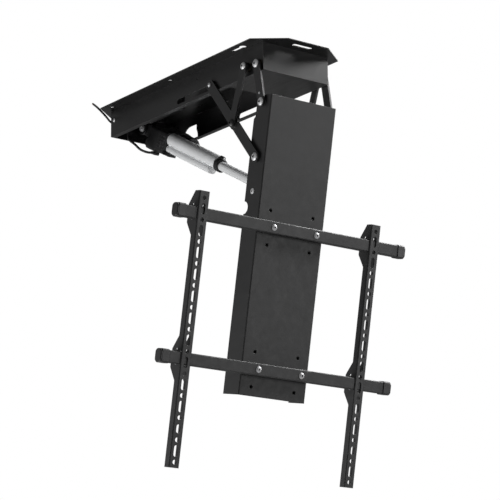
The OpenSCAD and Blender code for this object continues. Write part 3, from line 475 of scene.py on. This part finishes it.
FINISHES = {
    STEEL: ["tv_plate"],
    STEEL_CEILING_SHADED: ["ceiling_plate"],
    STEEL_BOX_SHADED: ["side_wall_left", "side_wall_right", "front_wall", "rear_wall",
                "actuator_bracket", "box_pivot_spacers"],
    STEEL_RAIL: ["rail_left", "rail_right"],
    STEEL_BAR: ["upper_bar", "lower_bar"],
    STEEL_LINK: ["front_link_left", "front_link_right", "mid_link_left", "mid_link_right",
                 "long_link_left", "long_link_right", "mid_pivot_bolts", "plate_inserts"],
    ZINC: ["clevis_pin", "box_screws", "box_pivot_bolts", "long_link_bolts", "slider_washers",
           "front_link_rivets", "plate_pivot_bolts", "plate_washers", "cross_pin_screws",
           "bar_screws", "rail_left_screws", "rail_right_screws", "housing_screws",
           "screw_bearing", "cross_pin", "lead_screw", "screw_gear", "idler_gear",
           "motor_pinion", "rod_end"],
    TUBE: ["actuator_tube", "tube_plug"],
    CHROME: ["actuator_rod"],
    PLASTIC: ["control_box", "control_box_cover", "power_inlet", "antenna_grommet",
              "motor_cable_gland", "slider_rollers", "gear_housing", "gear_cover",
              "tube_end_cap"],
    PLASTIC_CAP: ["bar_end_caps"],
    MOTOR: ["actuator_motor"],
    JACKET: ["inner_leads"],
    BOARD: ["circuit_board"],
    BRASS: ["drive_nut"],
}

for material, names in FINISHES.items():
    for name in names:
        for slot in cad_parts[name].material_slots:
            slot.material = material

# Mesh helpers. A form is a pair of points in metres and faces; sizes given to the helpers are in
# millimetres.


def mesh_of(name, points, faces):
    mesh = bpy.data.meshes.new(name)
    mesh.from_pydata([tuple(p) for p in points], [], faces)
    mesh.validate()
    mesh.update()
    return mesh


def new_piece(name, forms, material, body):
    """Makes one shown object of several forms, and rides it on a body unless that is None."""
    points, faces = [], []
    for form_points, form_faces in forms:
        start = len(points)
        points.extend(form_points)
        faces.extend([[i + start for i in face] for face in form_faces])
    mesh = mesh_of(name, points, faces)
    piece = bpy.data.objects.new(name, mesh)
    bpy.context.scene.collection.objects.link(piece)
    mesh.materials.append(material)
    for polygon in mesh.polygons:
        polygon.use_smooth = True
    if body is not None:
        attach(piece, body)
    return piece


def placed(matrix, form):
    points, faces = form
    return [matrix @ Vector(p) for p in points], faces


def place_in(matrix, x, y, z, turn=None):
    """A place in another frame, with an optional turn."""
    place = matrix @ Matrix.Translation(Vector((x, y, z)) * MM)
    return place @ turn if turn is not None else place


FACE_X = Matrix.Rotation(math.radians(90), 4, "Y")
FACE_MINUS_X = Matrix.Rotation(math.radians(-90), 4, "Y")
FACE_DOWN = Matrix.Rotation(math.radians(180), 4, "X")


def side_faces(rings, around):
    """The faces between neighbouring rings of points."""
    faces = []
    for here in range(0, (rings - 1) * around, around):
        above = here + around
        for k in range(around):
            j = (k + 1) % around
            faces.append([here + k, here + j, above + j, above + k])
    return faces


def end_faces(rings, around):
    """The two faces that close the first and the last ring."""
    last = (rings - 1) * around
    return [list(range(around - 1, -1, -1)), [last + k for k in range(around)]]


def lathe(profile, around, hollow=False):
    """A form turned about local Z from (radius, height) pairs: a solid, or a hollow ring."""
    points = []
    for r, z in profile:
        for k in range(around):
            a = math.tau * k / around
            points.append((r * math.cos(a) * MM, r * math.sin(a) * MM, z * MM))
    rings = len(profile)
    faces = side_faces(rings, around)
    if not hollow:
        return points, faces + end_faces(rings, around)
    last = (rings - 1) * around
    for k in range(around):
        j = (k + 1) % around
        faces.append([last + k, last + j, j, k])
    return points, faces


def block(low, high, edge):
    """A box from corner to corner, its edges cut back a little."""
    points = []
    rings = [(low[2], edge), (low[2] + edge, 0.0), (high[2] - edge, 0.0), (high[2], edge)]
    for z, inset in rings:
        x0, y0 = low[0] + inset, low[1] + inset
        x1, y1 = high[0] - inset, high[1] - inset
        outline = ((x0 + edge, y0), (x1 - edge, y0), (x1, y0 + edge), (x1, y1 - edge),
                   (x1 - edge, y1), (x0 + edge, y1), (x0, y1 - edge), (x0, y0 + edge))
        points.extend((x * MM, y * MM, z * MM) for x, y in outline)
    around = len(points) // len(rings)
    return points, side_faces(len(rings), around) + end_faces(len(rings), around)


def catmull(route, steps):
    """Points of a smooth curve through a route, in the route's own unit."""
    out = []
    ends = [route[0] * 2 - route[1], *route, route[-1] * 2 - route[-2]]
    for i in range(1, len(ends) - 2):
        a, b, c, d = ends[i - 1:i + 3]
        for s in range(steps):
            t = s / steps
            out.append(0.5 * (2 * b + (c - a) * t + (2 * a - 5 * b + 4 * c - d) * t * t
                              + (3 * b - a - 3 * c + d) * t ** 3))
    out.append(route[-1].copy())
    return out


def tube(path, radius_at, sides):
    """A closed tube about points in metres. radius_at gives the radius in metres at a step."""
    points = []
    side = None
    for i, p in enumerate(path):
        run = (path[min(i + 1, len(path) - 1)] - path[max(i - 1, 0)]).normalized()
        if side is None:
            side = run.cross(Vector((0, 0, 1))).normalized()
        side = (side - run * side.dot(run)).normalized()
        over = run.cross(side)
        for k in range(sides):
            a = math.tau * k / sides
            points.append(p + (side * math.cos(a) + over * math.sin(a)) * radius_at(i))
    return points, side_faces(len(path), sides) + end_faces(len(path), sides)


# A thread's steps in a turn and in its fade, how deep it is sunk, half the width of its foot and
# its tip as shares of the pitch, and the least share of its height
THREAD_STEPS = 20
THREAD_FADE_STEPS = 6.0
THREAD_SUNK = 0.25
THREAD_FOOT = 0.42
THREAD_TIP = 0.08
THREAD_LEAST = 0.05


def thread(radius, pitch, depth, start, length):
    """A screw thread as a closed form about local Z, that fades out at both ends."""
    turns = length / pitch
    steps = max(8, int(turns * THREAD_STEPS))
    foot = radius - THREAD_SUNK
    points = []
    for i in range(steps + 1):
        a = math.tau * turns * i / steps
        z = start + length * i / steps
        fade = min(1.0, i / THREAD_FADE_STEPS, (steps - i) / THREAD_FADE_STEPS)
        tip = radius + depth * max(THREAD_LEAST, fade)
        ring = ((foot, -pitch * THREAD_FOOT), (tip, -pitch * THREAD_TIP),
                (tip, pitch * THREAD_TIP), (foot, pitch * THREAD_FOOT))
        points.extend((r * math.cos(a) * MM, r * math.sin(a) * MM, (z + h) * MM) for r, h in ring)
    rings = steps + 1
    around = len(points) // rings
    return points, side_faces(rings, around) + end_faces(rings, around)


PATCH_RINGS = 17


def curved_patch(radius, thick, low, high, start, end):
    """A thin closed patch on a cylinder about local Z, between two angles in radians."""
    points = []
    ring = ((radius, start), (radius + thick, start), (radius + thick, end), (radius, end))
    for i in range(PATCH_RINGS):
        a = low + (high - low) * i / (PATCH_RINGS - 1)
        points.extend((r * math.cos(a) * MM, r * math.sin(a) * MM, z * MM) for r, z in ring)
    faces = [[a, d, c, b] for a, b, c, d in side_faces(PATCH_RINGS, len(ring))]
    return points, faces + [face[::-1] for face in end_faces(PATCH_RINGS, len(ring))]


def cross_head(radius, height):
    """A small domed screw head with a recess, standing along local Z."""
    profile = [(0.01, 0.0), (radius, 0.0), (radius, height * 0.35), (radius * 0.86, height * 0.75),
               (radius * 0.5, height), (radius * 0.46, height * 0.5), (0.01, height * 0.45)]
    return lathe(profile, around=16)


# Cords: the lead at the rear corner and the motor's cable

ANTENNA_DIAMETER = 4.4
ANTENNA_ROUTE = [
    (-60, 261.5, -22), (-60, 266, -22), (-62.5, 271, -21.4), (-68, 273, -19.6),
    (-75, 270.5, -17.4), (-84, 264.5, -15), (-95, 257, -13), (-106, 249.5, -11.4),
    (-117, 242, -9.8), (-131, 233, -8), (-145, 225, -6.8),
]
MOTOR_CABLE_DIAMETER = 5.0
MOTOR_CABLE_ROUTE = [
    (-34, 195, -24), (-34, 204, -24), (-36, 216, -25), (-39, 229, -28.5),
    (-42, 238.5, -35.5), (-44.5, 243, -45), (-46, 242.5, -55.5), (-45.5, 236.5, -64),
    (-44, 228, -70.8), (-42, 221, -77), (-39.5, 216, -83), (-36, 211, -88.3),
    (-30.5, 205.2, -92.4), (-24, 200.3, -94.6), (-18, 197.8, -94.3), (-12.3, 197.8, -94.3),
]
CORD_STEPS = 6
CORD_SIDES = 16
CUT_END_SHARE = 0.9


def smooth_path(route, steps):
    """Points in metres along a smooth curve through a route."""
    return [p * MM for p in catmull([Vector(p) for p in route], steps)]


def antenna():
    """The short stiff lead at the rear corner, its end cut bare."""
    path = smooth_path(ANTENNA_ROUTE, CORD_STEPS)
    radius = ANTENNA_DIAMETER / 2 * MM
    last = len(path) - 1

    def radius_at(i):
        return radius * (CUT_END_SHARE if i in (0, last) else 1.0)

    lead = new_piece("antenna_jacket", [tube(path, radius_at, CORD_SIDES)], JACKET,
                     "housing")
    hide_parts("antenna_lead")


def motor_cable():
    """The looped cable between the box and the actuator."""
    path = smooth_path(MOTOR_CABLE_ROUTE, CORD_STEPS)
    radius = MOTOR_CABLE_DIAMETER / 2 * MM
    cable = new_piece("motor_cable_jacket", [tube(path, lambda i: radius, CORD_SIDES)], JACKET,
                      None)
    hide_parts("motor_cable")
    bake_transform(cable)


antenna()
motor_cable()

# Bare thread ends: the thread's size, and where it starts and how long it is on the bolt

BAR_SCREW_THREAD = {"radius": 3.0, "pitch": 1.0, "depth": 0.14, "start": 5.8, "length": 1.1}
BOX_BOLT_THREAD = {"radius": 4.0, "pitch": 1.25, "depth": 0.16, "start": 5.0, "length": 1.9}
LOCK_SCREW_THREAD = {"radius": 2.2, "pitch": 0.7, "depth": 0.10, "start": 5.6, "length": 1.6}


def bolt_threads():
    """The bolts' ends behind their nuts, and the lock screws' ends in the rails' blocks."""
    behind = [placed(place_in(PLATE_FRAME, x, u, 0.0), thread(**BAR_SCREW_THREAD))
              for x in PLATE_SCREWS_X for u in BARS_U]
    new_piece("bar_screw_threads", behind, ZINC, "screen_plate")
    inside = []
    for y, z in (FRONT_PIVOT, MIDDLE_PIVOT):
        for side, turn in ((-1, FACE_X), (1, FACE_MINUS_X)):
            place = place_in(BOX_FRAME, side * (BOX_HALF_WIDTH - SHEET), y, z, turn)
            inside.append(placed(place, thread(**BOX_BOLT_THREAD)))
    new_piece("box_bolt_threads", inside, ZINC, "housing")
    for body, x in RAIL_PLACES.items():
        forms = [placed(place_in(PLATE_FRAME, x, u, 0.0), thread(**LOCK_SCREW_THREAD))
                 for u in BARS_U]
        new_piece(body + "_lock_threads", forms, ZINC, body)


bolt_threads()

# Details of the box

# A weld bead's ripples: steps in a ripple, its share of the radius, and the share at the ends
BEAD_RADIUS = 1.5
BEAD_PITCH = 2.2
BEAD_SIDES = 8
BEAD_STEPS = 3
BEAD_RIPPLE = 0.18
BEAD_START = 0.3

# Where the welds start along a corner or an edge, and how long they are
CORNER_WELDS_Z = (-48.0, -28.0, -12.0)
CORNER_WELD = 9.0
SIDE_WELDS_Y = (-180.0, -60.0, 60.0, 150.0)
SIDE_WELD = 18.0
HANGER_WELD_X = 30.0
HANGER_WELD_IN = (26.0, 8.0)
REAR_WELD_SHARE = 0.5
REAR_WELD = 16.0


def weld_bead(start, end):
    """A run of weld ripples between two points, half sunk in the corner."""
    start, end = Vector(start), Vector(end)
    count = max(2, int((end - start).length / BEAD_PITCH * BEAD_STEPS))
    path = [start.lerp(end, i / count) * MM for i in range(count + 1)]

    def radius_at(i):
        ripple = 1.0 - BEAD_RIPPLE + BEAD_RIPPLE * math.cos(math.tau * i / BEAD_STEPS)
        fade = min(1.0, BEAD_START + i / BEAD_STEPS, BEAD_START + (count - i) / BEAD_STEPS)
        return BEAD_RADIUS * ripple * fade * MM

    return tube(path, radius_at, BEAD_SIDES)


def box_welds():
    """Short welds inside the box's corners and along the hanger's plate."""
    x = BOX_HALF_WIDTH - SHEET
    front = -BOX_HALF_LENGTH + SHEET
    rear = BOX_HALF_LENGTH - SHEET
    hanger_from, hanger_to = (rear - inset for inset in HANGER_WELD_IN)
    beads = []
    for side in (-1, 1):
        for z in CORNER_WELDS_Z:
            beads.append(weld_bead((side * x, front, z), (side * x, front, z + CORNER_WELD)))
        for y in SIDE_WELDS_Y:
            beads.append(weld_bead((side * x, y, -SHEET), (side * x, y + SIDE_WELD, -SHEET)))
        beads.append(weld_bead((side * HANGER_WELD_X, hanger_from, -SHEET),
                               (side * HANGER_WELD_X, hanger_to, -SHEET)))
        rear_x = x * REAR_WELD_SHARE
        beads.append(weld_bead((side * rear_x, rear, -SHEET),
                               (side * (rear_x + REAR_WELD), rear, -SHEET)))
    new_piece("box_welds", beads, STEEL_BOX_SHADED, "housing")


# The boots' widths as shares of the cable's
BOOT_STEPS = 10
BOOT_POINTS = 13
BOOT_TIP = 1.15
BOOT_RIB = 0.10
BOX_BOOT_FOOT = 1.75
MOTOR_BOOT_FOOT = 1.45


def strain_boot(name, path, foot, body):
    """A ribbed rubber boot that narrows from its foot to its tip."""
    radius = MOTOR_CABLE_DIAMETER / 2 * MM
    steps = len(path) - 1

    def radius_at(i):
        rib = BOOT_RIB if i % 2 == 0 else 0.0
        return radius * (foot - (foot - BOOT_TIP) * i / steps + rib)

    new_piece(name, [tube(path, radius_at, CORD_SIDES)], RUBBER, body)


def cable_boots():
    """A boot along the cable's first points, and one along its last."""
    path = smooth_path(MOTOR_CABLE_ROUTE, BOOT_STEPS)
    strain_boot("cable_boot_box", path[:BOOT_POINTS], BOX_BOOT_FOOT, "housing")
    strain_boot("cable_boot_motor", path[::-1][:BOOT_POINTS], MOTOR_BOOT_FOOT, "actuator_barrel")


STRANDS_RADIUS = 0.75
STRANDS_SIDES = 10
STRANDS_IN = 2.0
STRANDS_OUT = 0.1


def cut_lead():
    """The copper strands in the cut end of the rear lead."""
    path = smooth_path(ANTENNA_ROUTE, CORD_STEPS)
    run = (path[-1] - path[-2]).normalized()
    core = [path[-1] - run * STRANDS_IN * MM, path[-1] + run * STRANDS_OUT * MM]
    new_piece("antenna_strands", [tube(core, lambda i: STRANDS_RADIUS * MM, STRANDS_SIDES)],
              COPPER, "housing")


# The control box's corners. Places along its side face are from its front edge, and margins from
# its lower and upper edges.
CONTROL_LOW = (-70.0, 70.0, -36.0)
CONTROL_HIGH = (-26.0, 190.0, -2.0)
LABEL_ALONG = (25, 75)
LABEL_MARGINS = (9, 8)
LABEL_THICK = 0.14
LABEL_SUNK = 0.02
COVER_SCREW_INSET = (4.5, 6.0)
COVER_SCREW_RADIUS = 2.4
COVER_SCREW_HEIGHT = 1.3
COOLING_RIBS = 6
COOLING_RIBS_FROM = 84
COOLING_RIB_MARGINS = (8, 6)
COOLING_RIB_PITCH = 5
COOLING_RIB_WIDTH = 2.4
COOLING_RIB_HEIGHT = 0.7
COOLING_RIB_SUNK = 0.1


def control_box_details():
    """A blank label, cover screws and cooling ribs on the control box."""
    x0, y0, z0 = CONTROL_LOW
    x1, y1, z1 = CONTROL_HIGH
    label = block((x1 - LABEL_SUNK, y0 + LABEL_ALONG[0], z0 + LABEL_MARGINS[0]),
                  (x1 + LABEL_THICK, y0 + LABEL_ALONG[1], z1 - LABEL_MARGINS[1]), edge=0.06)
    new_piece("control_box_label", [label], LABEL, "housing")
    dx, dy = COVER_SCREW_INSET
    head = cross_head(COVER_SCREW_RADIUS, COVER_SCREW_HEIGHT)
    heads = [placed(place_in(BOX_FRAME, x, y, z0, FACE_DOWN), head)
             for x in (x0 + dx, x1 - dx) for y in (y0 + dy, y1 - dy)]
    new_piece("control_box_screws", heads, STEEL_BOX_SHADED, "housing")
    ribs = []
    for k in range(COOLING_RIBS):
        y = y0 + COOLING_RIBS_FROM + COOLING_RIB_PITCH * k
        low = (x1 - COOLING_RIB_SUNK, y, z0 + COOLING_RIB_MARGINS[0])
        high = (x1 + COOLING_RIB_HEIGHT, y + COOLING_RIB_WIDTH, z1 - COOLING_RIB_MARGINS[1])
        ribs.append(block(low, high, edge=0.25))
    new_piece("control_box_ribs", ribs, PLASTIC, "housing")


# The board's levels. Of each row of parts, the first one's corners and height, the number, the
# step along x and y, and the edge.
BOARD_TOP = -26.4
BOARD_UNDERSIDE = -28.0
BOARD_ROWS = [
    ((-64, 140), (-55, 150), 1.8, 2, (13, 0), 0.2),
    ((-63, 158), (-53, 162.6), 8, 3, (0, 5.4), 0.3),
]
SOLDER_START = (-64.0, 84.0)
SOLDER_JOINTS = 9
SOLDER_PITCH = 4.2
SOLDER_PROFILE = [(0.01, 0.0), (1.1, 0.0), (0.7, 0.5), (0.01, 0.9)]


def board_parts():
    """Chips, relays and solder joints on the circuit board."""
    chips = []
    for (x0, y0), (x1, y1), height, count, (dx, dy), edge in BOARD_ROWS:
        for k in range(count):
            chips.append(block((x0 + dx * k, y0 + dy * k, BOARD_TOP),
                               (x1 + dx * k, y1 + dy * k, BOARD_TOP + height), edge))
    new_piece("board_chips", chips, PLASTIC, "housing")
    solder = []
    for k in range(SOLDER_JOINTS):
        x, y = SOLDER_START[0] + SOLDER_PITCH * k, SOLDER_START[1]
        place = place_in(BOX_FRAME, x, y, BOARD_UNDERSIDE, FACE_DOWN)
        solder.append(placed(place, lathe(SOLDER_PROFILE, around=10)))
    new_piece("board_solder", solder, ZINC, "housing")


# Details of the actuator

END_SCREW_CIRCLE = 12.5
END_SCREW_ANGLE = 0.6
END_SCREW_RADIUS = 2.3
END_SCREW_HEIGHT = 1.2
VENTS = 6
VENT_ANGLE = 0.1
VENT_LOW = (7.6, -1.3, -0.2)
VENT_HIGH = (11.4, 1.3, 0.25)
MOTOR_LABEL_DEGREES = (-60, 50)
MOTOR_LABEL_INSETS = (4, 15)
MOTOR_LABEL_GAP = 0.05
MOTOR_LABEL_THICK = 0.12


def motor_details():
    """End screws, vents and a blank foil label on the motor's can."""
    x, y = MOTOR_PLACE
    head = cross_head(END_SCREW_RADIUS, END_SCREW_HEIGHT)
    heads = []
    for a in (END_SCREW_ANGLE, END_SCREW_ANGLE + math.pi):
        across, up = END_SCREW_CIRCLE * math.cos(a), END_SCREW_CIRCLE * math.sin(a)
        heads.append(placed(place_in(BARREL_FRAME, x + across, y + up, MOTOR_FRONT), head))
    new_piece("motor_end_screws", heads, ZINC, "actuator_barrel")
    vents = []
    for k in range(VENTS):
        turn = Matrix.Rotation(math.tau * k / VENTS + VENT_ANGLE, 4, "Z")
        place = place_in(BARREL_FRAME, x, y, MOTOR_FRONT, turn)
        vents.append(placed(place, block(VENT_LOW, VENT_HIGH, edge=0.2)))
    new_piece("motor_vents", vents, PLASTIC, "actuator_barrel")
    low, high = (math.radians(a) for a in MOTOR_LABEL_DEGREES)
    label = curved_patch(MOTOR_RADIUS + MOTOR_LABEL_GAP, MOTOR_LABEL_THICK, low, high,
                         SLEEVE_END + MOTOR_LABEL_INSETS[0], MOTOR_FRONT - MOTOR_LABEL_INSETS[1])
    new_piece("motor_label", [placed(place_in(BARREL_FRAME, x, y, 0.0), label)], LABEL,
              "actuator_barrel")


# Ribs of the gear cover: their number, first place and the two depths between which they stand
COVER_RIB_PITCH = 6.5
COVER_RIB_WIDTH = 1.4
COVER_RIB_EDGE = 0.3
COVER_RIB_INSET = 1.5
SIDE_RIBS = (5, -21.0, (-17.7, -16.8))
TOP_RIBS = (4, -10.0, (14.8, 15.8))
CROSS_RIB_LOW = (-17.6, -20.0)
CROSS_RIB_HIGH = (-16.8, 8.0)
CROSS_RIB_UP = 12.4


def housing_ribs():
    """Stiffening ribs on the gear cover's side and top."""
    start, end = COVER_START + COVER_RIB_INSET, TUBE_START - COVER_RIB_INSET
    corners = []
    count, first, (inner, outer) = SIDE_RIBS
    for k in range(count):
        low = first + COVER_RIB_PITCH * k
        corners.append(((inner, low, start), (outer, low + COVER_RIB_WIDTH, end)))
    count, first, (inner, outer) = TOP_RIBS
    for k in range(count):
        low = first + COVER_RIB_PITCH * k
        corners.append(((low, inner, start), (low + COVER_RIB_WIDTH, outer, end)))
    across = start + CROSS_RIB_UP
    corners.append(((*CROSS_RIB_LOW, across), (*CROSS_RIB_HIGH, across + COVER_RIB_WIDTH)))
    ribs = [placed(BARREL_FRAME, block(low, high, COVER_RIB_EDGE)) for low, high in corners]
    new_piece("gear_cover_ribs", ribs, PLASTIC, "actuator_barrel")


# The lip's section, from the rod's face and the cap's front
WIPER_PROFILE = [(2.2, 0.0), (2.0, 0.9), (0.5, 1.7), (0.15, 1.5), (0.2, 0.0)]


def rod_wiper():
    """The soft lip that wipes the rod where it enters the cap."""
    start = TUBE_START + TUBE_LENGTH + CAP_LENGTH
    profile = [(ROD_RADIUS + r, start + z) for r, z in WIPER_PROFILE]
    lip = placed(BARREL_FRAME, lathe(profile, around=40, hollow=True))
    new_piece("rod_wiper", [lip], RUBBER, "actuator_barrel")


# The smear's radii and heights, and its waves as (height, number, turn)
GREASE_INNER = 8.0
GREASE_OUTER = 9.3
GREASE_FOOT = 0.1
GREASE_HEIGHTS = (0.02, 0.5, 0.3, 0.02)
GREASE_WAVES = ((0.5, 3, 0.0), (0.35, 5, 1.0))
GREASE_POINTS = 36


def smear():
    """A thin wavy ring of grease about local Z."""
    points, faces = [], []
    for k in range(GREASE_POINTS):
        a = math.tau * k / GREASE_POINTS
        rim = GREASE_OUTER + sum(high * math.sin(number * a + turn)
                                 for high, number, turn in GREASE_WAVES)
        radii = (GREASE_INNER - GREASE_FOOT, GREASE_INNER, (GREASE_INNER + rim) / 2, rim)
        points.extend((r * math.cos(a) * MM, r * math.sin(a) * MM, h * MM)
                      for r, h in zip(radii, GREASE_HEIGHTS))
    count = len(GREASE_HEIGHTS)
    for k in range(GREASE_POINTS):
        here, beside = k * count, (k + 1) % GREASE_POINTS * count
        for i in range(count):
            j = (i + 1) % count
            faces.append([here + i, beside + i, beside + j, here + j])
    return points, faces


def pivot_grease():
    """A little grease squeezed out beside the spacers of the box's pivots."""
    rings = []
    for y, z in (FRONT_PIVOT, MIDDLE_PIVOT):
        for side, turn in ((-1, FACE_MINUS_X), (1, FACE_X)):
            rings.append(placed(place_in(BOX_FRAME, side * BOX_HALF_WIDTH, y, z, turn), smear()))
    new_piece("pivot_grease", rings, GREASE, "housing")


box_welds()
cable_boots()
cut_lead()
control_box_details()
board_parts()
motor_details()
housing_ribs()
rod_wiper()
pivot_grease()

# Floor, background and light, in metres

FLOOR_LEVEL = -3.4
FLOOR_HALF = 12.0
FLOOR_DARK = 0.86
FLOOR_LIGHT = 0.88
FLOOR_SEEN = 0.78


def floor_material():
    """Pale floor paint. The eye sees it lit evenly, as the white background is."""
    n = Nodes("floor_paint")
    cloud = n.noise(scale=1.2, detail=2.0)
    base = n.mix(n.span(cloud, 0.0, 1.0), (FLOOR_DARK,) * 3, (FLOOR_LIGHT,) * 3)
    seen = n.times(n.add("ShaderNodeLightPath").outputs["Is Camera Ray"], FLOOR_SEEN)
    return n.set(Base_Color=base, Roughness=0.7, Emission_Color=(1.0, 1.0, 1.0),
                 Emission_Strength=seen)


def make_floor():
    corners = [(x * FLOOR_HALF, y * FLOOR_HALF, FLOOR_LEVEL)
               for x, y in ((-1, -1), (1, -1), (1, 1), (-1, 1))]
    mesh = mesh_of("floor", corners, [[0, 1, 2, 3]])
    mesh.materials.append(floor_material())
    floor = bpy.data.objects.new("floor", mesh)
    bpy.context.scene.collection.objects.link(floor)


SKY_SEEN = 1.0
SKY_LIGHT = 0.17


def make_world():
    """A white background for the eye, and a dimmer soft light on the part."""
    world = bpy.data.worlds.new("studio")
    bpy.context.scene.world = world
    world.use_nodes = True
    tree = world.node_tree
    tree.nodes.clear()
    output = tree.nodes.new("ShaderNodeOutputWorld")
    mix = tree.nodes.new("ShaderNodeMixShader")
    path = tree.nodes.new("ShaderNodeLightPath")
    tree.links.new(path.outputs["Is Camera Ray"], mix.inputs["Fac"])
    for place, strength in ((1, SKY_LIGHT), (2, SKY_SEEN)):
        sky = tree.nodes.new("ShaderNodeBackground")
        sky.inputs["Strength"].default_value = strength
        sky.inputs["Color"].default_value = (1, 1, 1, 1)
        tree.links.new(sky.outputs["Background"], mix.inputs[place])
    tree.links.new(mix.outputs["Shader"], output.inputs["Surface"])


LIGHT_AIM = Vector((0.0, -0.1, -0.3))
LIGHTS = [
    # name, place, width and height, watts
    ("front_softbox", (2.0, -3.1, -0.65), (1.7, 1.2), 17.0),
    ("high_softbox", (2.34, -1.46, 1.46), (1.2, 1.2), 92.0),
    ("left_softbox", (-2.15, 1.25, -1.75), (1.5, 1.5), 66.0),
    ("rear_softbox", (-1.9, 2.4, 0.9), (1.8, 1.8), 1.3),
    ("edge_softbox", (1.6, -0.3, 2.2), (1.2, 1.2), 90.0),
    ("right_softbox", (2.9, 0.1, 0.5), (1.4, 1.4), 36.0),
    ("back_softbox", (0.8, 2.9, 1.1), (1.4, 1.4), 30.0),
]


def make_lights():
    for name, place, size, power in LIGHTS:
        data = bpy.data.lights.new(name, "AREA")
        data.shape = "RECTANGLE"
        data.size, data.size_y = size
        data.energy = power
        light = bpy.data.objects.new(name, data)
        light.location = place
        light.rotation_mode = "QUATERNION"
        light.rotation_quaternion = (LIGHT_AIM - Vector(place)).to_track_quat("-Z", "Y")
        light.visible_camera = False
        bpy.context.scene.collection.objects.link(light)


make_floor()
make_world()
make_lights()
bpy.context.scene.view_settings.view_transform = "Standard"
